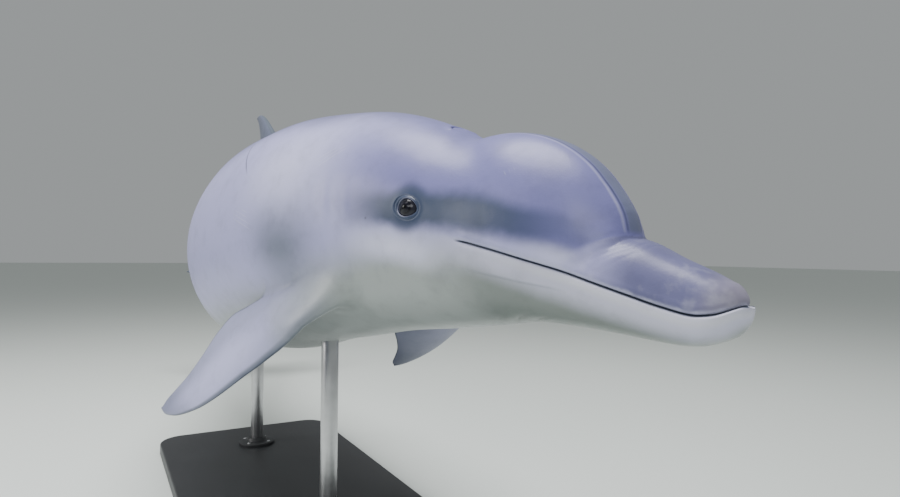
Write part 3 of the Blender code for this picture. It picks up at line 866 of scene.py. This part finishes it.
def makeSkin():
    skin = SkinMesh(skinMap)
    for plan in finPlans:
        growFin(skin, plan)
    for plan in eyePlans:
        growEye(skin, plan)
    growBlowhole(skin, blowholePlan)
    skin.closeSeam()
    bmesh.ops.recalc_face_normals(skin.bm, faces=skin.bm.faces)
    piece = makeMesh(skin.bm, "dolphinSkin")
    fillFields(piece.data)
    triangles = sum(len(face.vertices) - 2 for face in piece.data.polygons)
    print("skin:", len(piece.data.vertices), "points,", triangles, "triangles")
    flesh = [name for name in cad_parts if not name.startswith(("stand_", "eye_"))]
    return placePiece(piece, flesh)


dolphinSkin = makeSkin()


def fillSockets(node, sockets):  # a wire is linked, and a plain value is set on the node itself
    for name, value in sockets.items():
        if isinstance(value, Wire):
            value.tree.links.new(value.socket, node.inputs[name])
        else:
            node.inputs[name].default_value = value


class Wire:  # a socket of a material, so that shader maths reads as plain maths
    def __init__(self, tree, socket=None):
        self.tree = tree
        self.socket = socket

    def add(self, kind, settings=None, sockets=None, output=0):
        node = self.tree.nodes.new(kind)
        for name, value in (settings or {}).items():
            if name != "stops":
                setattr(node, name, value)
                continue
            ramp = node.color_ramp
            while len(ramp.elements) < len(value):
                ramp.elements.new(0.5)
            for element, (place, colour) in zip(ramp.elements, value):
                element.position = place
                element.color = (*colour, 1) if isinstance(colour, tuple) else (colour, colour, colour, 1)
        fillSockets(node, sockets or {})
        return Wire(self.tree, node.outputs[output])

    def maths(self, operation, *values):
        return self.add("ShaderNodeMath", {"operation": operation}, dict(enumerate(values)))

    def __add__(self, other):
        return self.maths("ADD", self, other)

    __radd__ = __add__

    def __sub__(self, other):
        return self.maths("SUBTRACT", self, other)

    def __rsub__(self, other):
        return self.maths("SUBTRACT", other, self)

    def __mul__(self, other):
        return self.maths("MULTIPLY", self, other)

    __rmul__ = __mul__

    def __truediv__(self, other):
        return self.maths("DIVIDE", self, other)

    def __rtruediv__(self, other):
        return self.maths("DIVIDE", other, self)

    def __pow__(self, other):
        return self.maths("POWER", self, other)

    def __abs__(self):
        return self.maths("ABSOLUTE", self)

    def rises(self, low, high):  # 0 below low, 1 above high, smooth between
        sockets = {"Value": self, "From Min": low, "From Max": high}
        return self.add("ShaderNodeMapRange", {"interpolation_type": "SMOOTHSTEP"}, sockets)

    def falls(self, low, high):
        return 1 - self.rises(low, high)

    def bell(self, middle, width):  # 1 at the middle, 0 a width away on either side
        return abs(self - middle).falls(0.0, width)

    def waves(self, length):  # how far this is from the nearest whole number of lengths
        return self.maths("PINGPONG", self, length / 2)

    def curve(self, *stops):  # a value that follows (place, value) stops along this one
        return self.add("ShaderNodeValToRGB", {"stops": stops}, {"Fac": self})

    def field(self, name):
        return self.add("ShaderNodeAttribute", {"attribute_name": name}, {}, 2)

    def noise(self, where, scale, detail=3.0, roughness=0.5):
        sockets = {"Vector": where, "Scale": scale, "Detail": detail, "Roughness": roughness}
        return self.add("ShaderNodeTexNoise", {}, sockets)

    def stretched(self, scale):
        return self.add("ShaderNodeMapping", {}, {"Vector": self, "Scale": scale})

    def bumps(self, strength, distance):
        sockets = {"Strength": strength, "Distance": distance, "Height": self}
        return self.add("ShaderNodeBump", {}, sockets)

    def tint(self, under, over):  # this mask lays one colour over another
        return self.add("ShaderNodeMix", {"data_type": "RGBA"}, {0: self, 6: under, 7: over}, 2)


def newMaterial(name):
    material = bpy.data.materials.new(name)
    material.use_nodes = True
    start = Wire(material.node_tree)
    return material, start, start.add("ShaderNodeTexCoord", {}, {}, 3)


def fillShader(material, sockets):
    fillSockets(material.node_tree.nodes["Principled BSDF"], sockets)
    return material


skinLooks = {
    "cape": (0.120, 0.124, 0.245, 1),
    "flank": (0.400, 0.396, 0.660, 1),
    # the belly's pale tone, darkened and greened as painted shade under the body
    "shadedBelly": (0.330, 0.360, 0.355, 1),
    # a pale skin tone; on the cheek and upper flank it is brightened as a painted pool of light
    "paleAndLit": (0.700, 0.700, 0.900, 1),
    # the head's own tone, lightened as painted light falling on the top of the head
    "litForehead": (0.172, 0.170, 0.385, 1),
    "stripe": (0.130, 0.150, 0.210, 1),
    "stripeEdge": (0.040, 0.050, 0.090, 1),
    "stripeLine": (0.420, 0.420, 0.600, 1),
    "band": (0.030, 0.048, 0.098, 1),
    "blotch": (0.150, 0.170, 0.230, 1),
    "beak": (0.125, 0.125, 0.250, 1),
    "beakTip": (0.290, 0.265, 0.330, 1),
    "jaw": (0.520, 0.520, 0.650, 1),
    # the lower jaw's underside, dark and greenish as painted shade
    "shadedChin": (0.190, 0.215, 0.205, 1),
    "lip": (0.620, 0.620, 0.690, 1),
    # painted shade in the groove of the closed mouth line
    "mouthLineShade": (0.030, 0.040, 0.065, 1),
    "fin": (0.110, 0.125, 0.185, 1),
    # painted light on the flippers' outer face, over the dark fin colour
    "litFinFace": (0.490, 0.490, 0.740, 1),
    "finEdge": (0.070, 0.090, 0.110, 1),
    "scratch": (0.560, 0.560, 0.690, 1),
    "scar": (0.090, 0.090, 0.140, 1),
    "lid": (0.360, 0.350, 0.480, 1),
    "capeEdge": ((0.10, 0.08), (0.20, 0.14), (0.28, 0.19), (0.44, 0.30), (0.62, 0.40), (0.95, 0.46)),
    "bellyEdge": ((0.10, 0.50), (0.17, 0.55), (0.26, 0.66), (0.42, 0.70), (0.70, 0.64), (0.95, 0.56)),
    "edgeLength": 2.5,  # the places on both edges are shares of this length
    "bandLine": ((0.10, 0.040), (0.28, 0.049), (0.36, 0.045), (0.56, 0.036), (0.76, 0.030), (1.0, 0.018)),
    "bandWide": ((0.16, 0.014), (0.40, 0.024), (0.56, 0.034), (0.80, 0.026), (1.0, 0.036)),
    "bandLength": 0.5,  # and those on the band of this one
    "spots": {  # middle and half width along the body, then over the mouth line, and how uneven
        # the pale cheek under the eye, brightened as a painted pool of light
        "paleAndLit": ((0.385, 0.115), (-0.022, 0.034), 0.02),
        # a painted pool of light on the upper flank behind the head
        "litShoulder": ((0.60, 0.16), (0.10, 0.11), 0.04),
        "blotch": ((0.600, 0.110), (-0.030, 0.095), 0.04),
        "paleFront": ((0.165, 0.075), (0.014, 0.020), 0.01),
    },
    "along": {  # where each region comes or goes along the body
        "head": (0.38, 0.56),
        "melon": (0.30, 0.37),
        "bandStart": (0.10, 0.27),
        "bandEnd": (0.38, 0.50),
        "beak": (0.14, 0.19),
        "beakRoot": (0.085, 0.150),
        "beakTip": (0.004, 0.045),
        "jaw": (0.24, 0.36),
        "lip": (0.16, 0.28),
        "mouthLineShade": (0.290, 0.300),
    },
    "heights": {  # and over the mouth line
        "above": (-0.002, 0.006),
        "litForehead": (0.004, 0.030),
        "beakRoot": (0.020, 0.060),
        "jaw": (-0.046, -0.012),
        "mouthLineShade": (0.0006, 0.0018),
    },
    "fields": (
        "alongBody", "aroundBody", "fromMouth", "fromEye", "fromMiddle", "sideways",
        "overBeak", "finShare", "finEdge", "finFace",
    ),
    "noises": {"broad": (2.6, 3.0), "middling": (11.0, 4.0), "fine": (70.0, 4.0)},  # scale and detail
    "roughness": 0.40,
    "bump": 0.16,
    "pores": ((420.0, 2.0), (60.0, 4.0)),  # scale and detail of the fine and the coarse grain
}


def layOver(colour, *coats):  # lays each coat of paint over those before it, where its mask says
    for mask, paint in coats:
        colour = mask.tint(colour, skinLooks[paint] if isinstance(paint, str) else paint)
    return colour


def spot(at, name, along):  # a soft patch of paint
    alongSpot, heightSpot, uneven = skinLooks["spots"][name]
    return along.bell(*alongSpot) * (at.fromMouth + at.middling * uneven).bell(*heightSpot)


def paintBody(at):  # cape, flank and belly (the belly darkened as painted shade), pale cheek and upper flank brightened as painted light, and the blotch over the flipper
    length = at.alongBody / skinLooks["edgeLength"]
    height = at.aroundBody + (at.broad * 0.10 + at.middling * 0.05)
    shadedBelly = (height - length.curve(*skinLooks["bellyEdge"])).rises(-0.07, 0.09)
    cape = (height - length.curve(*skinLooks["capeEdge"])).falls(-0.09, 0.07)
    paleAndLit = spot(at, "paleAndLit", at.alongBody + at.middling * 0.05)
    litShoulder = spot(at, "litShoulder", at.alongBody + at.broad * 0.1)
    return layOver(
        skinLooks["flank"],
        # the belly, darkened as painted shade
        (shadedBelly, "shadedBelly"),
        # pale cheek with a painted pool of light
        (paleAndLit * 0.85, "paleAndLit"),
        # painted light on the upper flank
        (litShoulder * 0.45, "paleAndLit"),
        (cape * 0.92, "cape"),
        (spot(at, "blotch", at.alongBody) * 0.9, "blotch"),
    )


def paintHead(at, colour):  # forehead lightened as painted light from above, midline stripe, and the dark band through the eye
    along, heights = skinLooks["along"], skinLooks["heights"]
    onHead = (at.alongBody + at.broad * 0.08).falls(*along["head"])
    # the top of the head, lighter as painted light from above
    litForehead = (at.fromMouth + at.middling * 0.02).rises(*heights["litForehead"])
    onMelon = at.overBeak.rises(0.001, 0.010) * at.alongBody.falls(*along["melon"])
    side = at.fromMiddle + at.middling * 0.006
    worn = 0.8 + at.middling * 1.4
    reach = at.alongBody / skinLooks["bandLength"]
    fromBand = at.fromMouth + at.middling * 0.022 + at.fine * 0.006 - reach.curve(*skinLooks["bandLine"])
    band = (abs(fromBand) / reach.curve(*skinLooks["bandWide"])).falls(0.30, 1.15)
    bandEnds = at.alongBody.rises(*along["bandStart"]) * at.alongBody.falls(*along["bandEnd"])
    eyePatch = (at.fromEye + at.middling * 0.010).falls(0.024, 0.040)
    lidEdge = at.fromEye.bell(0.0180, 0.0009) * (0.55 + at.middling * 1.6)
    return layOver(
        colour,
        (onHead * litForehead * at.above, "litForehead"),
        (spot(at, "paleFront", at.alongBody) * 0.55, "paleAndLit"),
        (side.falls(0.008, 0.012) * onMelon * 0.75, "stripe"),
        (side.bell(0.0122, 0.0026) * onMelon * worn * 0.85, "stripeEdge"),
        (side.bell(0.0164, 0.0030) * onMelon * worn * 0.60, "stripeLine"),
        (band * (bandEnds * (0.98 + at.middling * 0.6)), "band"),
        (eyePatch * 0.85, "band"),
        (lidEdge * 0.8, "lid"),
    )


def paintBeak(at, colour):  # beak, lower jaw with its underside darkened as painted shade, lips, and the line of the mouth darkened as painted shade
    along, heights = skinLooks["along"], skinLooks["heights"]
    onBeak = at.overBeak.falls(-0.006, 0.002) * at.alongBody.falls(*along["beak"]) * at.above
    uneven = at.alongBody + at.middling * 0.03
    root = uneven.rises(*along["beakRoot"]) * at.fromMouth.falls(*heights["beakRoot"])
    tip = uneven.falls(*along["beakTip"])
    rings = (at.fine + at.middling).rises(0.0, 0.3)
    below = (1 - at.above) * (at.alongBody + at.middling * 0.06).falls(*along["jaw"])
    jawSide = (at.fromMouth + at.middling * 0.02).rises(*heights["jaw"])
    lip = (at.fromMouth + at.fine * 0.003).bell(-0.007, 0.008) * at.alongBody.falls(*along["lip"])
    # the mouth line's groove, painted dark as shade
    mouthLineShade = abs(at.fromMouth).falls(*heights["mouthLineShade"]) * at.alongBody.falls(*along["mouthLineShade"])
    return layOver(
        colour,
        (onBeak, layOver(skinLooks["beak"], (root * 0.75, "flank"))),
        (onBeak * tip * 0.8, "beakTip"),
        (onBeak * rings * 0.16, "lip"),
        # the lower jaw, its underside darkened as painted shade
        (below, layOver(skinLooks["shadedChin"], (jawSide, "jaw"))),
        (lip * 0.65, "lip"),
        (mouthLineShade, "mouthLineShade"),
    )


def paintFins(at, colour):  # dark fins, the flippers' outer face paler as painted light, and dark rims
    onFin = at.finShare.rises(0.03, 0.22)
    isFlipper = at.alongBody.bell(0.70, 0.34) * at.aroundBody.rises(0.42, 0.52)
    outer = 0.35 + 0.65 * at.finFace.rises(-0.6, 0.4)
    # painted light on each flipper's outer face, less towards the tip
    litFace = isFlipper * outer * (1 - (at.finShare + at.middling * 0.3).rises(0.70, 1.0) * 0.6)
    shade = (at.finEdge + at.middling * 0.25).rises(0.30, 0.75) * onFin * isFlipper
    rim = abs(at.finEdge - 0.5).rises(0.455, 0.497) * onFin
    return layOver(
        colour,
        (onFin, layOver(skinLooks["fin"], (litFace, "litFinFace"))),
        (shade * 0.45, "blotch"),
        (rim * 0.75, "finEdge"),
    )


wear = {
    "rakes": (  # tooth marks: place along, height over the mouth line, turn, length, lines, side of the body
        (0.700, 0.020, 22, 0.090, 4, -1),
        (0.520, 0.105, -38, 0.060, 3, -1),
        (0.930, 0.120, 8, 0.130, 4, -1),
        (1.330, 0.050, -24, 0.110, 3, -1),
        (0.240, 0.095, 50, 0.035, 3, -1),
        (0.640, 0.090, -15, 0.100, 4, 1),
        (1.120, 0.060, 30, 0.120, 3, 1),
        (1.750, 0.020, 12, 0.100, 4, 1),
    ),
    "rakeLine": (0.007, 0.0011),  # from line to line, and half the width of each
    "scar": (0.785, 0.160, 44, 0.190, 1, -1),
    "scarLine": (0.012, 0.0022),
    "ear": (0.432, 0.010),
    "earEdge": (0.0008, 0.0022),
    "mottle": ((0.25, 0.68), (0.50, 0.96), (0.78, 1.0)),
    "mottleShare": 0.55,
}


def lineMarks(at, wobble, mark, spacing, width):  # a set of parallel lines on one side
    along, height, degrees, length, lines, side = mark
    a = at.alongBody - along
    b = at.fromMouth - height
    turn = math.radians(degrees)
    onward = a * math.cos(turn) + b * math.sin(turn)
    across = b * math.cos(turn) - a * math.sin(turn) + wobble
    ends = abs(onward).falls(length * 0.25, length * 0.5)
    sides = abs(across).falls(spacing * (lines - 1) / 2 + width, spacing * lines / 2)
    toMiddle = across + spacing * (3.5 - lines % 2 / 2)  # puts a line on the middle of an odd number
    line = toMiddle.waves(spacing).falls(width * 0.3, width)
    onSide = (at.sideways * side).rises(0.0, 0.01)
    return line * ends * sides * onSide


def paintWear(start, where, at, colour):  # mottling, tooth marks, a thin scar and an ear hole
    mottle = start.noise(where, 26.0, 6.0, 0.62).curve(*wear["mottle"])
    multiply = {"data_type": "RGBA", "blend_type": "MULTIPLY"}
    colour = start.add("ShaderNodeMix", multiply, {0: wear["mottleShare"], 6: colour, 7: mottle}, 2)
    wobble = at.middling * 0.006
    rakes = 0
    for mark in wear["rakes"]:
        rakes = lineMarks(at, wobble, mark, *wear["rakeLine"]) + rakes
    rakes = rakes * start.noise(where, 34.0, 3.0).rises(0.36, 0.60)
    scar = lineMarks(at, wobble * 0.3, wear["scar"], *wear["scarLine"])
    earAlong, earHeight = wear["ear"]
    ear = ((at.alongBody - earAlong) ** 2 + (at.fromMouth - earHeight) ** 2) ** 0.5
    coats = (rakes * 0.42, "scratch"), (scar * 0.75, "scar"), (ear.falls(*wear["earEdge"]) * 0.7, "scar")
    return rakes, layOver(colour, *coats)


def paintSkin():
    material, start, where = newMaterial("dolphinSkinPaint")
    at = SimpleNamespace()  # every measure and noise at a place on the skin
    for name in skinLooks["fields"]:
        setattr(at, name, start.field(name))
    for name, (scale, detail) in skinLooks["noises"].items():
        setattr(at, name, start.noise(where, scale, detail) - 0.5)
    at.above = (at.fromMouth + at.fine * 0.006).rises(*skinLooks["heights"]["above"])
    colour = paintBody(at)
    for paint in (paintHead, paintBeak, paintFins):
        colour = paint(at, colour)
    rakes, colour = paintWear(start, where, at, colour)
    finePores, coarsePores = (start.noise(where, *grain) for grain in skinLooks["pores"])
    pores = finePores * 0.35 + coarsePores + rakes * 0.5
    return fillShader(material, {
        "Base Color": colour,
        "Roughness": skinLooks["roughness"] + at.middling * 0.20 + at.fine * 0.14,
        "Normal": pores.bumps(skinLooks["bump"], 0.002),
        "Specular IOR Level": 0.36,
        "Coat Weight": 0.09,
        "Coat Roughness": 0.20,
    })


dolphinSkin.data.materials.append(paintSkin())
print("skin painted")

eyeLooks = {
    "corneaFrom": 27.0,  # half angle of the clear front
    "corneaLift": 0.0012,
    "rings": 40,
    "turns": 64,
    "fleckScale": 900.0,
    "stops": ((0.10, "pupil"), (0.13, "iris"), (0.26, "iris"), (0.31, "irisEdge"), (0.42, "white")),
    "pupil": (0.001, 0.001, 0.002),
    "iris": (0.006, 0.006, 0.012),
    "irisEdge": (0.002, 0.002, 0.005),
    "white": (0.020, 0.020, 0.030),
}


def makeEye(plan):
    bm = bmesh.new()
    cuts = {"u_segments": eyeLooks["turns"], "v_segments": eyeLooks["rings"]}
    bmesh.ops.create_uvsphere(bm, radius=plan["ball"], **cuts)
    gaze = bm.verts.layers.float.new("fromGaze")
    edge = math.radians(eyeLooks["corneaFrom"])
    for vert in bm.verts:
        lean = vert.co.angle(Vector((0, 0, 1)))
        vert[gaze] = math.degrees(lean)
        if lean < edge:
            vert.co *= 1 + eyeLooks["corneaLift"] / plan["ball"] * (1 - (lean / edge) ** 2) ** 2
    turn = Vector(plan["outward"]).to_track_quat("Z", "Y").to_matrix().to_4x4()
    bmesh.ops.transform(bm, matrix=Matrix.Translation(plan["centre"]) @ turn, verts=bm.verts)
    piece = makeMesh(bm, "eye" + plan["name"].capitalize())
    return placePiece(piece, ["eye_" + plan["name"]])


def paintEye():
    material, start, where = newMaterial("dolphinEyePaint")
    gaze = start.field("fromGaze") / 90
    flecks = start.noise(where, eyeLooks["fleckScale"], 3.0) - 0.5
    stops = ((place, eyeLooks[name]) for place, name in eyeLooks["stops"])
    return fillShader(material, {
        "Base Color": (gaze + flecks * 0.03).curve(*stops),
        "Roughness": 0.16,
        "Specular IOR Level": 0.24,
        "Coat Weight": 0.10,
        "Coat Roughness": 0.04,
    })


eyePaint = paintEye()
for plan in eyePlans:
    makeEye(plan).data.materials.append(eyePaint)
print("eyes made")

stand = {
    "corner": (0.060, 24),  # size and cuts of the bevels
    "edge": (0.006, 8),
    "rodEdge": (0.0006, 2),
    "sharpFrom": 35,
    "rodSides": 64,
    "rodIntoBody": 0.004,
    "flangeProfile": (  # distance from the rod's middle, and height
        (0.0163, 0.0), (0.046, 0.0), (0.046, 0.005), (0.044, 0.007),
        (0.0265, 0.009), (0.0223, 0.016), (0.0163, 0.016),
    ),
    "flangeSides": 96,
    "screws": 4,
    "screwRing": 0.036,
    "screwSize": 0.0042,
    "screwHeight": 0.0078,
    "screwFlat": 0.45,
    "paint": ((0.018, 0.019, 0.021, 1), (0.030, 0.031, 0.034, 1)),
    "steel": ((0.50, 0.50, 0.51, 1), (0.60, 0.60, 0.61, 1)),
}


def finishStandPiece(bm, name, nodes):
    bmesh.ops.recalc_face_normals(bm, faces=bm.faces)
    piece = makeMesh(bm, name)
    piece.data.set_sharp_from_angle(angle=math.radians(stand["sharpFrom"]))
    return placePiece(piece, nodes)


def bevelEdges(bm, edges, offset, segments):
    shape = {"affect": "EDGES", "offset": offset, "segments": segments, "profile": 0.5, "material": -1}
    bmesh.ops.bevel(bm, geom=edges, **shape)


def makeBase():
    low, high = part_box("stand_base")
    size = high - low
    bm = bmesh.new()
    bmesh.ops.create_cube(bm, size=1.0)
    bmesh.ops.scale(bm, vec=size, verts=bm.verts)
    bmesh.ops.translate(bm, vec=(low + high) / 2, verts=bm.verts)
    upright = [e for e in bm.edges if abs(e.verts[0].co.z - e.verts[1].co.z) > size.z / 2]
    bevelEdges(bm, upright, *stand["corner"])
    rim = []
    for e in bm.edges:
        onTop = all(v.co.z > high.z - 1e-6 for v in e.verts)
        if onTop and any(abs(f.normal.z) < 0.5 for f in e.link_faces):
            rim.append(e)
    bevelEdges(bm, rim, *stand["edge"])
    return finishStandPiece(bm, "standBase", ["stand_base"])


def makeRod(name):
    low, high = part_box("stand_rod_" + name)
    radius = (high.x - low.x) / 2
    top = high.z + stand["rodIntoBody"]
    bm = bmesh.new()
    bmesh.ops.create_cone(
        bm, cap_ends=True, segments=stand["rodSides"], radius1=radius, radius2=radius, depth=top - low.z
    )
    bmesh.ops.translate(bm, vec=((low.x + high.x) / 2, 0, (top + low.z) / 2), verts=bm.verts)
    ends = [e for e in bm.edges if abs(e.verts[0].co.z - e.verts[1].co.z) < 1e-6]
    bevelEdges(bm, ends, *stand["rodEdge"])
    return finishStandPiece(bm, "standRod" + name.capitalize(), ["stand_rod_" + name])


def makeFlange(name):
    low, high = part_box("stand_flange_" + name)
    middle = (low + high) / 2
    bm = bmesh.new()
    profile = [bm.verts.new((r, 0, low.z + z)) for r, z in stand["flangeProfile"]]
    loop = [bm.edges.new(pair) for pair in zip(profile, profile[1:] + profile[:1])]
    turn = {"axis": (0, 0, 1), "cent": (0, 0, 0), "angle": 2 * math.pi, "use_merge": True}
    bmesh.ops.spin(bm, geom=profile + loop, steps=stand["flangeSides"], **turn)
    bmesh.ops.remove_doubles(bm, verts=bm.verts, dist=1e-6)
    bmesh.ops.translate(bm, vec=(middle.x, middle.y, 0), verts=bm.verts)
    piece = finishStandPiece(bm, "standFlange" + name.capitalize(), ["stand_flange_" + name])
    heads = bmesh.new()
    for k in range(stand["screws"]):
        turn = 2 * math.pi * (k + 0.5) / stand["screws"]
        x = middle.x + stand["screwRing"] * math.cos(turn)
        y = middle.y + stand["screwRing"] * math.sin(turn)
        size = stand["screwSize"]
        made = bmesh.ops.create_uvsphere(heads, u_segments=20, v_segments=10, radius=size)["verts"]
        bmesh.ops.scale(heads, vec=(1, 1, stand["screwFlat"]), verts=made)
        bmesh.ops.translate(heads, vec=(x, y, low.z + stand["screwHeight"]), verts=made)
    screws = finishStandPiece(heads, "standScrews" + name.capitalize(), [])
    return piece, screws


def paintBoard():  # dark satin paint over a faint grain
    material, start, where = newMaterial("standPaint")
    lines = start.noise(where.stretched((1.5, 22.0, 22.0)), 6.0, 5.0, 0.6)
    cloud = start.noise(where, 7.0, 4.0)
    return fillShader(material, {
        "Base Color": (cloud * 0.6 + lines * 0.4).rises(0.3, 0.7).tint(*stand["paint"]),
        "Roughness": 0.34 + cloud * 0.16 + lines * 0.08,
        "Normal": lines.bumps(0.15, 0.0006),
    })


def paintSteel():  # brushed round the rods, and a little smeared
    material, start, where = newMaterial("standSteel")
    brushing = start.noise(where.stretched((900.0, 900.0, 9.0)), 1.0, 3.0, 0.6)
    smear = start.noise(where, 30.0, 3.0)
    return fillShader(material, {
        "Base Color": smear.rises(0.3, 0.8).tint(*stand["steel"]),
        "Roughness": 0.22 + brushing * 0.16 + smear * 0.08,
        "Metallic": 1.0,
        "Normal": brushing.bumps(0.08, 0.0003),
    })


standPaint, standSteel = paintBoard(), paintSteel()
makeBase().data.materials.append(standPaint)
for rodName in ("front", "rear"):
    makeRod(rodName).data.materials.append(standSteel)
    flange, screws = makeFlange(rodName)
    flange.data.materials.append(standPaint)
    screws.data.materials.append(standSteel)
print("stand made")

studio = {
    "floorHalf": 30.0,
    "floorColour": (0.70, 0.74, 0.70, 1),
    "worldColour": (0.80, 0.84, 0.85, 1),
    "worldStrength": 0.42,
    "lights": {  # place, aim, size, power and colour
        "overhead": ((0.3, -0.2, 3.4), (0.3, 0.0, 0.6), 2.2, 150, (0.98, 0.98, 1.0)),
        "front": ((3.2, -1.6, 2.1), (0.8, 0.0, 0.6), 1.4, 26, (0.96, 0.97, 1.0)),
        "side": ((-0.6, -3.2, 1.8), (0.2, 0.0, 0.6), 1.8, 52, (1.0, 0.99, 0.97)),
    },
}


def makeFloor():
    bm = bmesh.new()
    bmesh.ops.create_grid(bm, x_segments=1, y_segments=1, size=studio["floorHalf"])
    floor = makeMesh(bm, "studioFloor")
    material = newMaterial("studioFloorPaint")[0]
    fillShader(material, {"Base Color": studio["floorColour"], "Roughness": 0.9})
    floor.data.materials.append(material)


def makeWorld():
    world = bpy.data.worlds.new("studioWorld")
    world.use_nodes = True
    sockets = {"Color": studio["worldColour"], "Strength": studio["worldStrength"]}
    fillSockets(world.node_tree.nodes["Background"], sockets)
    bpy.context.scene.world = world


def makeLight(name, place, aim, size, power, colour):
    lamp = bpy.data.lights.new(name, "AREA")
    lamp.shape = "DISK"
    lamp.size = size
    lamp.energy = power
    lamp.color = colour
    light = bpy.data.objects.new(name, lamp)
    bpy.context.scene.collection.objects.link(light)
    light.location = place
    light.rotation_euler = (Vector(aim) - Vector(place)).to_track_quat("-Z", "Y").to_euler()


view = {  # where the camera is from the tip of the beak, and which way it looks
    "fromBeak": (0.35500, -0.51568, 0.04618),
    "ahead": (-0.86908, 0.49460, 0.00890),
    "up": (0.00265, -0.01333, 0.99991),
    "lens": 24.68,  # this and the sensor are in millimetres
    "sensor": 36.0,
    "nearest": 0.02,
}


def makeCamera():
    beakTip = posed(*(np.array([0.0]) for _ in range(3)))[0]
    ahead = Vector(view["ahead"]).normalized()
    right = ahead.cross(Vector(view["up"])).normalized()
    up = right.cross(ahead)
    turn = Matrix((right, up, -ahead)).transposed().to_4x4()
    data = bpy.data.cameras.new("studioCamera")
    data.lens = view["lens"]
    data.sensor_width = view["sensor"]
    data.clip_start = view["nearest"]
    camera = bpy.data.objects.new("studioCamera", data)
    bpy.context.scene.collection.objects.link(camera)
    camera.matrix_world = Matrix.Translation(Vector(beakTip) + Vector(view["fromBeak"])) @ turn
    bpy.context.scene.camera = camera


makeFloor()
makeWorld()
for lightName, light in studio["lights"].items():
    makeLight(lightName, *light)
makeCamera()
bpy.context.view_layer.update()
print("studio made")
